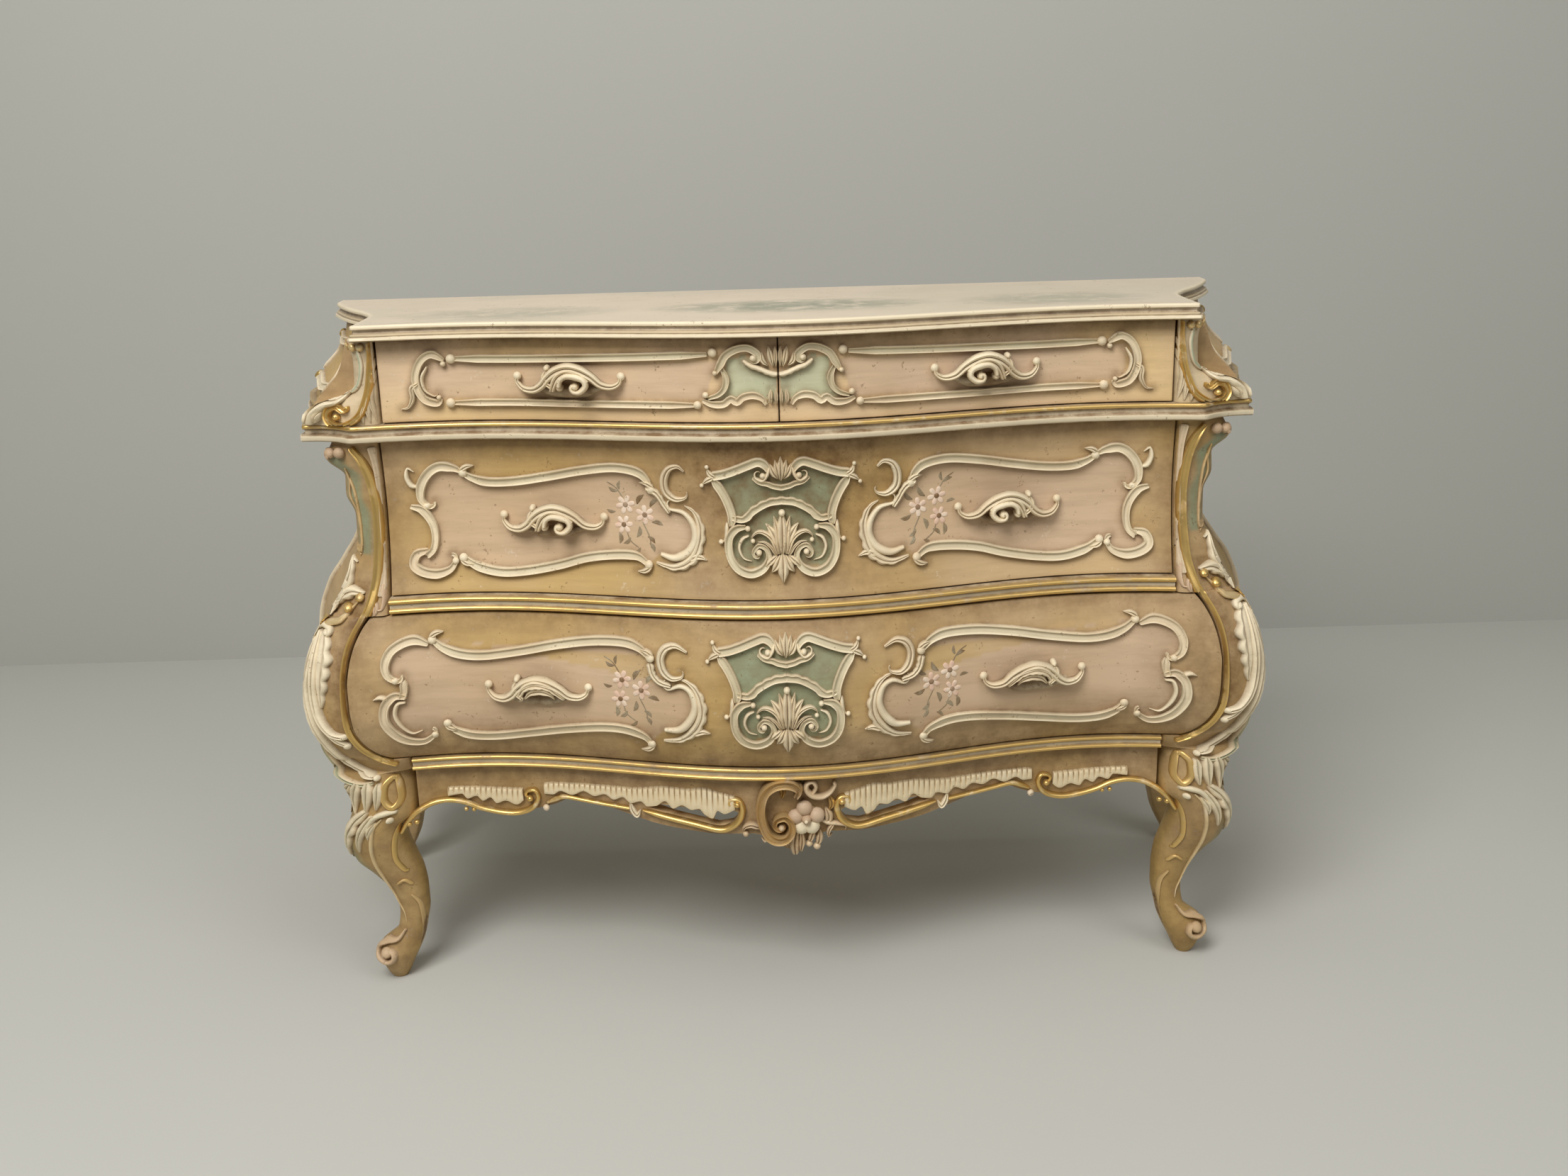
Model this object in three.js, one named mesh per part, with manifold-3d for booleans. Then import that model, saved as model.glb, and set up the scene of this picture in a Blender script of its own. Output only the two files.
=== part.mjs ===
// Bombe chest of drawers: two short drawers over two long ones, on cabriole legs.
// Millimetres, +Z up, +X to the right of someone facing the front, the front faces -Y.
// Inside the chest group y = 0 is the plane of the top board's two front tips.

import * as THREE from 'three';
import { mergeVertices } from 'three/addons/utils/BufferGeometryUtils.js';
import Module from 'manifold-3d';

const wasm = await Module();
wasm.setup();

// Heights, from the floor up
const legHeight = 305;
const bottomRailTall = 19;
const lowDrawerTall = 194;
const midRailTall = 21;
const midDrawerTall = 197;
const waistTall = 21;
const topDrawerTall = 103;
const topTall = 20;

// Widths are half-widths from the middle plane, depths run back from the front tips
const openingHalf = 497;
const topOpeningInset = 7;
const apronInset = 9;
const tipProud = 15;
const postWide = 138;
const backY = 385;
const topFlare = 113;
const bodyFlare = 80;

// Serpentine of the front: a swell in the middle, a trough, and corners that come forward again
const swell = 78;
const troughInset = 86;
const cornerProud = 73;
const cornerLift = 25;

// Bombe of the front below the waist
const waistSet = 30;
const bulge = 52;
const upperSet = 18;

// Boards, posts and clearances
const sideThick = 16;
const backThick = 12;
const floorThick = 12;
const railDeep = 30;
const stileBack = 50;
const rearStileDeep = 45;
const backGap = 2;
const stileProud = 6;
const beadProud = 9;
const topOverhang = 20;
const waistOverhang = 13;
const waistTipProud = 97;
const waistTipY = 21;
const lowLip = 56;
const seat = 0.3;
const drawerGap = 1.5;

// Drawer boxes
const frontThick = 24;
const boxSideThick = 12;
const boxBackThick = 10;
const boxFloorThick = 8;
const boxFloorLift = 10;
const boxSideClear = 12;
const boxTopClear = 26;
const boxBackClear = 16;
const dividerThick = 14;
const guideTall = 22;
const guideWide = 10;

// Posts
const postCant = 0.55;
const stileCant = 0.6;
const legCant = 0.3;
const cantSlope = 0.8;
const easeShare = 0.1;
const legEaseShare = 0.3;
const easing = 3;
const rearLegSlim = 0.15;
const waistSpread = 4;
const waistFrontProud = 30;
const waistBead = 3;
const scoopShare = 0.12;
const boardSpread = 38;

// Apron, legs and carving
const apronThick = 20;
const apronDrop = 100;
const apronSet = 3;
const crestScroll = 26;
const crestDeep = 24;
const crestPetal = 16;
const crestOff = 20;
const petals = 5;
const handleLong = 142;
const handleTall = 38;
const handleReach = 30;
const handleBar = 11;
const trimProud = 7;
const trimWide = 13;
const cartoucheProud = 11;
const cartoucheHalf = 96;
const midCartoucheClear = 19;
const lowCartoucheClear = 12;
const midCartoucheLift = 20;
const lowCartoucheLift = 24;
const frameInner = 100;
const midFrameInset = 33;
const midFrameClear = 33;
const midFrameLift = 24;
const lowFrameProud = 19;
const lowFrameClear = 28;
const lowFrameLift = 20;
const shortTrimInset = 48;
const shortTrimClear = 11;
const shortTrimLift = 20;
const topHandleOff = 32;
const topHandleRise = 5;
const midHandleOff = 3;
const lowHandleOff = 5;
const lowHandleRise = 7;

// Half-widths that follow the opening
const topOpeningHalf = openingHalf - topOpeningInset;
const apronHalf = openingHalf - apronInset;
const tipHalf = openingHalf + tipProud;
const troughHalf = openingHalf - troughInset;
const cornerHalf = openingHalf + cornerProud;
const waistTipHalf = openingHalf + waistTipProud;
const waistFrontHalf = openingHalf + waistFrontProud;
const midFrameOuter = openingHalf - midFrameInset;
const lowFrameOuter = openingHalf + lowFrameProud;
const shortTrimLong = topOpeningHalf - shortTrimInset;
const topHandleX = shortTrimLong / 2 + topHandleOff;
const midHandleX = (frameInner + midFrameOuter) / 2 + midHandleOff;
const lowHandleX = (frameInner + lowFrameOuter) / 2 + lowHandleOff;
const midFrameTall = midDrawerTall - midFrameLift - midFrameClear;
const lowFrameTall = lowDrawerTall - lowFrameLift - lowFrameClear;
const shortTrimTall = topDrawerTall - shortTrimLift - shortTrimClear;
const midCartoucheTall = midDrawerTall - midCartoucheLift - midCartoucheClear;
const lowCartoucheTall = lowDrawerTall - lowCartoucheLift - lowCartoucheClear;
const outward = (share) => apronHalf + postWide * share;

// Levels worked out from the heights
const bottomRailTop = legHeight + bottomRailTall;
const midRailLow = bottomRailTop + lowDrawerTall;
const midRailTop = midRailLow + midRailTall;
const waistLow = midRailTop + midDrawerTall;
const waistTop = waistLow + waistTall;
const topLow = waistTop + topDrawerTall;
const height = topLow + topTall;

const wood = {
  ground: new THREE.MeshStandardMaterial({ color: 0xcfb08a, roughness: 0.6, metalness: 0 }),
  topBoard: new THREE.MeshStandardMaterial({ color: 0xd8c8b4, roughness: 0.5, metalness: 0 }),
  cream: new THREE.MeshStandardMaterial({ color: 0xe2d3ad, roughness: 0.6, metalness: 0 }),
  gilt: new THREE.MeshStandardMaterial({ color: 0xb8923f, roughness: 0.4, metalness: 0.5 }),
  bare: new THREE.MeshStandardMaterial({ color: 0xb08a5c, roughness: 0.8, metalness: 0 }),
};

// Straight-line lookup in a table of pairs, held level past both ends
function lookup(table, at, column = 1) {
  if (at <= table[0][0]) return table[0][column];
  for (let i = 1; i < table.length; i++) {
    if (at <= table[i][0]) {
      const part = (at - table[i - 1][0]) / (table[i][0] - table[i - 1][0]);
      return table[i - 1][column] + part * (table[i][column] - table[i - 1][column]);
    }
  }
  return table[table.length - 1][column];
}

// The serpentine as flat facets between fixed stations, so that neighbouring pieces share them
const facetsToTrough = 8;
const facetsToCorner = 3;
const cornerPower = 1.85;
const waveTable = [];
for (let i = 0; i <= facetsToTrough; i++) {
  const part = i / facetsToTrough;
  waveTable.push([troughHalf * part, swell * 0.5 * (1 + Math.cos(Math.PI * part))]);
}
for (let i = 1; i <= facetsToCorner; i++) {
  const part = i / facetsToCorner;
  const x = troughHalf + (cornerHalf - troughHalf) * part;
  waveTable.push([x, cornerLift * part ** cornerPower]);
}
const wave = (x) => lookup(waveTable, Math.abs(x));

// How far the front bulges, by share of the height between the bottom rail and the waist
const bulgeShares = [
  [0, 0.42], [0.1, 0.81], [0.2, 0.985], [0.3, 0.965], [0.4, 0.825], [0.5, 0.575],
  [0.6, 0.29], [0.72, 0.077], [0.82, 0], [0.92, 0.04], [1, 0.115],
];
const lowerTall = waistLow - legHeight;
const bulgeTable = bulgeShares.map(([up, out]) => [legHeight + lowerTall * up, bulge * out]);
const lowerFace = (x, z) => waistSet - lookup(bulgeTable, z) - wave(x);
const upperFace = (x) => upperSet - wave(x);

// How far the sides spread towards the back, by share of the depth
const flareShares = [
  [0, 0], [0.3, 0.07], [0.46, 0.27], [0.6, 0.54], [0.8, 0.85], [0.9, 0.965], [1, 1],
];
const flare = (y, spread) => spread * lookup(flareShares, y / backY);

// Outline of a front stile and leg, by share of the height up to the waist:
// outer edge as a share of the post's width, from the sole up
const outerShares = [
  [0, 0.428], [0.008, 0.456], [0.026, 0.492], [0.05, 0.528], [0.072, 0.501], [0.098, 0.333],
  [0.133, 0.306], [0.166, 0.347], [0.204, 0.492], [0.239, 0.651], [0.28, 0.705], [0.318, 0.673],
  [0.353, 0.614], [0.383, 0.664], [0.404, 0.76], [0.425, 0.828], [0.4495, 0.887], [0.496, 0.964],
  [0.54, 0.955], [0.58, 0.932], [0.618, 0.896], [0.64, 0.868], [0.668, 0.796], [0.69, 0.728],
  [0.723, 0.596], [0.758, 0.492], [0.783, 0.465], [0.815, 0.383], [0.87, 0.379], [0.906, 0.447],
  [0.938, 0.438], [0.967, 0.587], [1, 0.515],
];
const outerEdge = (z) => outward(lookup(outerShares, z / waistLow));

// Lowest drawer: how far its edge spreads past the opening above, by share of its height
const lipShares = [
  [0, 0.12], [0.02, 0.35], [0.08, 0.62], [0.17, 0.84], [0.27, 0.96], [0.42, 1], [0.55, 1],
  [0.68, 0.94], [0.8, 0.83], [0.92, 0.63], [1, 0.42],
];
const lowDrawerHalf = (z) => openingHalf + lowLip * lookup(lipShares, (z - bottomRailTop) / lowDrawerTall);

// Rings of points joined into one closed skin, with flat ends
function loft(rings, flat) {
  const count = rings[0].length;
  const points = rings.flat();
  const faces = [];
  for (let r = 0; r < rings.length - 1; r++) {
    for (let i = 0; i < count; i++) {
      const a = r * count + i;
      const b = r * count + ((i + 1) % count);
      faces.push([a, b, b + count], [a, b + count, a + count]);
    }
  }
  for (const last of [false, true]) {
    const start = last ? (rings.length - 1) * count : 0;
    const contour = rings[last ? rings.length - 1 : 0].map(flat);
    const ringTurn = Math.sign(THREE.ShapeUtils.area(contour));
    for (const [i, j, k] of THREE.ShapeUtils.triangulateShape(contour, [])) {
      const turn = Math.sign(THREE.ShapeUtils.area([contour[i], contour[j], contour[k]]));
      const along = turn === ringTurn ? [i, j, k] : [k, j, i];
      faces.push((last ? along : along.reverse()).map((n) => start + n));
    }
  }
  const geometry = new THREE.BufferGeometry();
  geometry.setAttribute('position', new THREE.Float32BufferAttribute(points.flat(), 3));
  geometry.setIndex(faces.flat());
  return facingOut(geometry);
}

// Signed volume tells which way a closed skin faces
function facingOut(geometry) {
  const at = geometry.attributes.position;
  const order = geometry.index.array;
  const [a, b, c] = [new THREE.Vector3(), new THREE.Vector3(), new THREE.Vector3()];
  let volume = 0;
  for (let i = 0; i < order.length; i += 3) {
    a.fromBufferAttribute(at, order[i]);
    b.fromBufferAttribute(at, order[i + 1]);
    c.fromBufferAttribute(at, order[i + 2]);
    volume += a.dot(b.cross(c));
  }
  if (volume < 0) {
    for (let i = 0; i < order.length; i += 3) [order[i], order[i + 1]] = [order[i + 1], order[i]];
  }
  return geometry;
}

const welded = (geometry) => {
  const bare = geometry.clone();
  bare.deleteAttribute('normal');
  bare.deleteAttribute('uv');
  return mergeVertices(bare, seat / 100);
};

// A slab with a face and a back, divided at the given stations: place(u, v, w) puts each point,
// with w = 0 on the face and 1 on the back
function slab(us, vs, place) {
  const box = new THREE.BoxGeometry(1, 1, 1, us.length - 1, 1, vs.length - 1);
  const at = box.attributes.position;
  for (let i = 0; i < at.count; i++) {
    const u = us[Math.round((at.getX(i) + 0.5) * (us.length - 1))];
    const v = vs[Math.round((at.getZ(i) + 0.5) * (vs.length - 1))];
    at.setXYZ(i, ...place(u, v, at.getY(i) + 0.5));
  }
  return facingOut(welded(box));
}

const box = (x0, x1, y0, y1, z0, z1) => {
  const solid = new THREE.BoxGeometry(x1 - x0, y1 - y0, z1 - z0);
  return solid.translate((x0 + x1) / 2, (y0 + y1) / 2, (z0 + z1) / 2);
};

function mirrored(geometry) {
  const copy = geometry.clone().scale(-1, 1, 1);
  if (!copy.index) return facingOut(welded(copy));
  return facingOut(copy);
}

// A prism through the front: an outline in x and z, run from one depth to another
function prism(points, from, to) {
  const shape = new THREE.Shape(points.map(([x, z]) => new THREE.Vector2(x, z)));
  const solid = new THREE.ExtrudeGeometry(shape, { depth: to - from, bevelEnabled: false });
  return solid.rotateX(Math.PI / 2).translate(0, to, 0);
}

const solidOf = (geometry) => {
  const closed = facingOut(welded(geometry));
  const vertProperties = new Float32Array(closed.attributes.position.array);
  return new wasm.Manifold(new wasm.Mesh({
    numProp: 3,
    vertProperties,
    triVerts: new Uint32Array(closed.index.array),
  }));
};

const geometryOf = (solid) => {
  const mesh = solid.getMesh();
  const geometry = new THREE.BufferGeometry();
  geometry.setAttribute('position', new THREE.Float32BufferAttribute(mesh.vertProperties, 3));
  geometry.setIndex(new THREE.Uint32BufferAttribute(mesh.triVerts, 1));
  return geometry;
};

const chest = new THREE.Group();
function add(name, geometry, material) {
  const mesh = new THREE.Mesh(geometry, material);
  mesh.name = name;
  chest.add(mesh);
  return mesh;
}
const pair = (name, rightGeometry, material) => {
  add(`${name}_right`, rightGeometry, material);
  add(`${name}_left`, mirrored(rightGeometry), material);
};

// Stations of the front between two places, both ends included
function stationsX(from, to) {
  const inner = waveTable.map(([x]) => x).flatMap((x) => (x === 0 ? [0] : [-x, x]));
  const between = inner.filter((x) => x > from + drawerGap && x < to - drawerGap);
  return [from, ...between.sort((a, b) => a - b), to];
}
function stationsZ(from, to, extra = []) {
  const inner = [...bulgeTable.map(([z]) => z), ...extra];
  const between = inner.filter((z) => z > from + drawerGap && z < to - drawerGap);
  return [from, ...between.sort((a, b) => a - b), to];
}

// Board with a moulded edge: an outline in plan, drawn in or out at each level
// An edge that is plain, such as the back, stays where it is
function mouldedBoard(outline, plain, levels) {
  const count = outline.length;
  const line = (i, inset) => {
    const [a, b] = [outline[i], outline[(i + 1) % count]];
    const along = new THREE.Vector2(b[0] - a[0], b[1] - a[1]).normalize();
    const shift = plain(a, b) ? 0 : inset;
    return { x: a[0] - along.y * shift, y: a[1] + along.x * shift, along };
  };
  const nearlyStraight = 0.05;
  const rings = levels.map(([z, inset]) => outline.map((point, i) => {
    const before = line((i + count - 1) % count, inset);
    const after = line(i, inset);
    const turn = before.along.cross(after.along);
    if (Math.abs(turn) < nearlyStraight) return [after.x, after.y, z];
    const t = ((after.x - before.x) * after.along.y - (after.y - before.y) * after.along.x) / turn;
    return [before.x + before.along.x * t, before.y + before.along.y * t, z];
  }));
  return loft(rings, ([x, y]) => new THREE.Vector2(x, y));
}

// Both halves of an outline from its right half, which runs from the front middle to the back
function bothHalves(right) {
  const left = right.slice(1).reverse().map(([x, y]) => [-x, y]);
  return [...left, ...right];
}
const atBack = (a, b) => a[1] > backY - seat * 2 && b[1] > backY - seat * 2;

// Top board
function topBoard() {
  const right = stationsX(0, tipHalf).map((x) => [x, upperFace(x) - topOverhang]);
  for (const [share, spread] of flareShares.slice(1)) {
    right.push([tipHalf + topFlare * spread, backY * share]);
  }
  const bead = 4;
  const lip = 3;
  const levels = [
    [topLow, bead * 2],
    [topLow + topTall * 0.12, -bead],
    [topLow + topTall * 0.35, -bead],
    [topLow + topTall * 0.5, bead],
    [topLow + topTall * 0.75, bead],
    [height - lip, 0],
    [height, 0],
  ];
  return mouldedBoard(bothHalves(right), atBack, levels);
}
add('top', topBoard(), wood.topBoard);

// Back panel: its half-width follows the sides, inside the rear stiles
const sideLow = legHeight - bottomRailTall;
const lowerSideShares = [
  [0.382, 0.569], [0.42, 0.796], [0.5, 0.932], [0.58, 0.887], [0.65, 0.751], [0.7, 0.569],
  [0.76, 0.388], [0.83, 0.329], [0.92, 0.356], [1, 0.433],
];
const lowerSide = (z) => outward(lookup(lowerSideShares, z / waistLow));
const clearOfStep = outerShares.map(([share]) => waistLow * share).filter((z) => {
  return z < waistLow && Math.abs(z - sideLow) > easing * 2;
});
const rearLevels = [...clearOfStep, sideLow - easing, sideLow].sort((a, b) => a - b);
const rearOuter = (z) => (z < sideLow ? outerEdge(z) : lowerSide(z)) + bodyFlare;
const rearInner = (z) => rearOuter(z) - rearStileDeep;

const upperSideShares = [
  [0, 0.705], [0.12, 0.682], [0.3, 0.601], [0.42, 0.515], [0.58, 0.41], [0.78, 0.347], [1, 0.306],
];
const upperSide = (z) => outward(lookup(upperSideShares, (z - waistTop) / topDrawerTall));
function backPanel() {
  const spread = flare(backY - backThick, bodyFlare) - sideThick - seat;
  const lower = [sideLow, ...rearLevels.filter((z) => z > sideLow), waistLow].map((z) => {
    return [rearInner(z) - backGap, z];
  });
  const upper = upperSideShares.map(([share]) => {
    const z = waistTop + topDrawerTall * share;
    return [upperSide(z) + spread, Math.min(z, topLow - seat)];
  });
  const right = [...lower, ...upper];
  const shape = new THREE.Shape();
  right.forEach(([x, z], i) => (i ? shape.lineTo(x, z) : shape.moveTo(x, z)));
  right.reverse().forEach(([x, z]) => shape.lineTo(-x, z));
  const board = new THREE.ExtrudeGeometry(shape, { depth: backThick, bevelEnabled: false });
  return board.rotateX(Math.PI / 2).translate(0, backY, 0);
}
add('back_panel', backPanel(), wood.bare);

// Waist board: it runs under the short drawers and stops at the back panel
const innerBackY = backY - backThick;
const waistSideHalf = waistTipHalf + waistSpread;
function waistBoard() {
  const front = stationsX(0, waistFrontHalf).map((x) => [x, upperFace(x) - waistOverhang]);
  const [cornerX, cornerY] = front[front.length - 1];
  const acrossX = waistTipHalf - cornerX;
  const acrossY = waistTipY - cornerY;
  const scooped = [
    cornerX + acrossX / 2 - acrossY * scoopShare,
    cornerY + acrossY / 2 + acrossX * scoopShare,
  ];
  const right = [...front, scooped, [waistTipHalf, waistTipY]];
  for (const [share] of flareShares.slice(1)) {
    const y = Math.min(backY * share, innerBackY - seat);
    right.push([waistSideHalf + flare(y, bodyFlare), y]);
  }
  const levels = [
    [waistLow, waistBead * 3],
    [waistLow + waistTall * 0.1, 0],
    [waistLow + waistTall * 0.35, 0],
    [waistLow + waistTall * 0.5, waistBead * 2.5],
    [waistLow + waistTall * 0.75, waistBead * 2.5],
    [waistLow + waistTall * 0.85, waistBead],
    [waistTop, waistBead * 1.5],
  ];
  const plain = (a, b) => Math.min(a[1], b[1]) > innerBackY - seat * 2;
  return mouldedBoard(bothHalves(right), plain, levels);
}
add('waist_board', waistBoard(), wood.cream);

// Side boards, each a curved slab between the front post and the back
const sideStations = (from, to) => {
  const inner = flareShares.map(([share]) => backY * share);
  return [from, ...inner.filter((y) => y > from + sideThick && y < to - sideThick), to];
};
function upperSideBoard() {
  const ys = sideStations(stileBack + seat, backY);
  const zs = upperSideShares.map(([share]) => waistTop + seat + (topDrawerTall - seat * 2) * share);
  return slab(ys, zs, (y, z, w) => [upperSide(z) + flare(y, bodyFlare) - w * sideThick, y, z]);
}
pair('upper_side', upperSideBoard(), wood.ground);

const rearStileY = backY - rearStileDeep;
function lowerSideBoard() {
  const ys = sideStations(stileBack + seat, rearStileY - seat);
  const inner = lowerSideShares.map(([share]) => waistLow * share).filter((z) => z > sideLow);
  const zs = [sideLow, ...inner.slice(0, -1), waistLow - seat];
  return slab(ys, zs, (y, z, w) => [lowerSide(z) + flare(y, bodyFlare) - w * sideThick, y, z]);
}
pair('lower_side', lowerSideBoard(), wood.ground);

// Side apron: hangs under the side board, with an arched lower edge
const sideApronTall = 18;
const sideApronDrop = 26;
function sideApron() {
  const [from, to] = [stileBack + seat, rearStileY - seat];
  const ys = sideStations(from, to);
  return slab(ys, [0, 1], (y, v, w) => {
    const off = (2 * (y - from)) / (to - from) - 1;
    const low = sideLow - sideApronTall - sideApronDrop * off * off;
    const x = lowerSide(sideLow) + flare(y, bodyFlare) - w * sideThick;
    return [x, y, v ? sideLow - seat : low];
  });
}
pair('side_apron', sideApron(), wood.cream);

// One level of a post: an eight-cornered ring, its outer front corner cut back by the cant
function postRing(z, inner, outer, front, back, cantShare, roundShare = easeShare) {
  const cant = (outer - inner) * cantShare;
  const cut = Math.min(cant, (back - front) * cantShare) * cantSlope;
  const ease = (outer - inner) * roundShare;
  return [
    [inner, front + ease, z], [inner + ease, front, z], [outer - cant, front, z],
    [outer, front + cut, z], [outer, back - ease, z], [outer - ease, back, z],
    [inner + ease, back, z], [inner, back, z],
  ];
}
const planOf = ([x, y]) => new THREE.Vector2(x, y);

// Upper post: an S bracket from the top board down to the volute on the waist board
const upperPostShares = [
  [0, 0.71], [0.09, 0.701], [0.2, 0.637], [0.28, 0.524], [0.36, 0.32], [0.48, 0.252],
  [0.75, 0.242], [1, 0.283],
];
function upperPost() {
  const front = upperFace(topOpeningHalf) - stileProud;
  const rings = upperPostShares.map(([up, out]) => {
    const z = waistTop + seat + (topDrawerTall - seat * 2) * up;
    return postRing(z, topOpeningHalf + seat, outward(out), front, stileBack, postCant);
  });
  return loft(rings, planOf);
}
pair('upper_post', upperPost(), wood.cream);

// Legs below the bottom rail, by share of the leg's height: inner edge as a share of the post's width,
// then the front and the back as shares of the post's depth
const legShares = [
  [0, 0.283, -0.06, -0.5], [0.02, 0.256, 0.02, -0.56], [0.065, 0.211, 0.16, -0.66],
  [0.125, 0.143, 0.22, -0.68], [0.18, 0.093, 0.12, -0.68], [0.242, 0.061, 0, -0.72],
  [0.33, 0.025, -0.04, -0.74], [0.41, 0.025, -0.02, -0.74], [0.505, 0.047, 0.08, -0.74],
  [0.593, 0.106, 0.26, -0.74], [0.694, 0.161, 0.42, -0.78], [0.745, 0.147, 0.44, -0.82],
  [0.795, 0.007, 0.4, -0.88], [0.88, 0.002, 0.3, -0.96], [0.99, 0.002, 0.2, -1],
];
const stileLevels = () => {
  const above = [...outerShares.map(([share]) => waistLow * share), ...lipShares.map(([share]) => {
    return bottomRailTop + lowDrawerTall * share;
  })];
  const steps = above.filter((z) => z > bottomRailTop + easing && z < midRailLow - easing);
  const upper = outerShares.map(([share]) => waistLow * share);
  const high = upper.filter((z) => z > midRailLow + easing && z < waistLow - easing);
  const sorted = steps.sort((a, b) => a - b);
  const spaced = sorted.filter((z, i) => i === 0 || z - sorted[i - 1] > easing);
  return [bottomRailTop, bottomRailTop + seat, ...spaced, midRailLow, midRailLow + seat, ...high];
};
function stileAndLeg() {
  const rings = legShares.map(([up, inner, front, back]) => {
    const z = legHeight * up;
    const sole = outerEdge(z);
    const [near, far] = [-stileBack * front, -stileBack * back];
    return postRing(z, outward(inner), sole, near, far, legCant, legEaseShare);
  });
  for (const z of [...stileLevels(), waistLow - seat]) {
    let inner = openingHalf + seat;
    if (z <= bottomRailTop) inner = apronHalf + seat;
    else if (z <= midRailLow) inner = lowDrawerHalf(z) + drawerGap;
    const front = lowerFace(openingHalf, z) - stileProud;
    rings.push(postRing(z, inner, outerEdge(z), front, stileBack, stileCant));
  }
  return loft(rings, planOf);
}
pair('front_stile_leg', stileAndLeg(), wood.cream);

// Rear stile and leg: flat at the back, spread outwards like the sides
function rearStileAndLeg() {
  const rings = [...rearLevels, waistLow - seat].map((z) => {
    const legPart = z < sideLow;
    const inner = legPart ? outward(lookup(legShares, z / legHeight)) + bodyFlare : rearInner(z);
    const front = legPart ? rearStileY + rearStileDeep * rearLegSlim : rearStileY;
    return postRing(z, inner, rearOuter(z), front, backY, legCant);
  });
  return loft(rings, planOf);
}
pair('rear_stile_leg', rearStileAndLeg(), wood.ground);

// Rails: one section swept along the serpentine
function rail(half, low, tall) {
  const middle = low + tall / 2;
  const section = [
    [0, -railDeep], [0, beadProud * 0.2], [0.12, beadProud], [0.4, beadProud], [0.5, beadProud * 0.3],
    [0.6, beadProud], [0.88, beadProud], [1, beadProud * 0.2], [1, -railDeep],
  ];
  const rings = stationsX(-half, half).map((x) => section.map(([up, out]) => {
    const z = low + seat + (tall - seat * 2) * up;
    return [x, lowerFace(x, middle) - out, z];
  }));
  return loft(rings, ([, y, z]) => new THREE.Vector2(y, z));
}
add('mid_rail', rail(openingHalf, midRailLow, midRailTall), wood.gilt);
add('bottom_rail', rail(apronHalf, legHeight, bottomRailTall), wood.gilt);

// Boards inside, from the back of a rail to the back panel
function innerBoard(frontHalf, low, railLow, railTall, half) {
  const middle = railLow + railTall / 2;
  const xs = stationsX(-frontHalf, frontHalf);
  const front = xs.map((x) => [x, lowerFace(x, middle) + railDeep + seat]);
  const step = stileBack + seat;
  const right = [[frontHalf, step], [half, step], [half, innerBackY - seat]];
  const shape = new THREE.Shape();
  [...front, ...right].forEach(([x, y], i) => (i ? shape.lineTo(x, y) : shape.moveTo(x, y)));
  [...right].reverse().forEach(([x, y]) => shape.lineTo(-x, y));
  const board = new THREE.ExtrudeGeometry(shape, { depth: floorThick, bevelEnabled: false });
  return board.translate(0, 0, low);
}
const innerHalf = openingHalf + boardSpread;
const bottomLow = bottomRailTop - floorThick;
const dustLow = midRailTop - floorThick;
add('bottom_board', innerBoard(apronHalf, bottomLow, legHeight, bottomRailTall, innerHalf), wood.bare);
add('dust_panel', innerBoard(openingHalf, dustLow, midRailLow, midRailTall, innerHalf), wood.bare);

// Drawers
const boxBackY = innerBackY - boxBackClear;
const frontBoard = (face, xs, zs) => slab(xs, zs, (x, z, w) => [x, face(x, z) + w * frontThick, z]);
function drawer(name, face, front, bottom, top, boxFrom, boxTo) {
  const inside = (x, z) => face(x, z) + frontThick + seat;
  add(`${name}_front`, front, wood.ground);
  const low = bottom - drawerGap + seat;
  const high = top - boxTopClear;
  const sideZs = stationsZ(low, high);
  for (const [side, x] of [['left', boxFrom], ['right', boxTo - boxSideThick]]) {
    const place = (u, z, w) => [u, w ? boxBackY : inside(u, z), z];
    add(`${name}_${side}`, slab(stationsX(x, x + boxSideThick), sideZs, place), wood.bare);
  }
  const [x0, x1] = [boxFrom + boxSideThick + seat, boxTo - boxSideThick - seat];
  const backFaceY = boxBackY - boxBackThick;
  add(`${name}_back`, box(x0, x1, backFaceY, boxBackY, low, high), wood.bare);
  const floorZs = stationsZ(low + boxFloorLift, low + boxFloorLift + boxFloorThick);
  const placeFloor = (u, z, w) => [u, w ? backFaceY - seat : inside(u, z), z];
  add(`${name}_bottom`, slab(stationsX(x0, x1), floorZs, placeFloor), wood.bare);
}
const shortFace = (x) => upperFace(x);
const [shortLow, shortHigh] = [waistTop + drawerGap, topLow - drawerGap];
const shortOut = topOpeningHalf - drawerGap;
const shortBoxOut = shortOut - boxSideClear;
const shortBoxIn = dividerThick / 2 + drawerGap;
const shortXs = stationsX(drawerGap / 2, shortOut);
const shortFront = frontBoard(shortFace, shortXs, [shortLow, shortHigh]);
drawer('drawer_top_left', shortFace, mirrored(shortFront), shortLow, shortHigh, -shortBoxOut, -shortBoxIn);
drawer('drawer_top_right', shortFace, shortFront, shortLow, shortHigh, shortBoxIn, shortBoxOut);

const midHalf = openingHalf - drawerGap;
const [midLow, midHigh] = [midRailTop + drawerGap, waistLow - drawerGap];
const midFront = frontBoard(lowerFace, stationsX(-midHalf, midHalf), stationsZ(midLow, midHigh));
const midBox = midHalf - boxSideClear;
drawer('drawer_middle', lowerFace, midFront, midLow, midHigh, -midBox, midBox);

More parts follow.
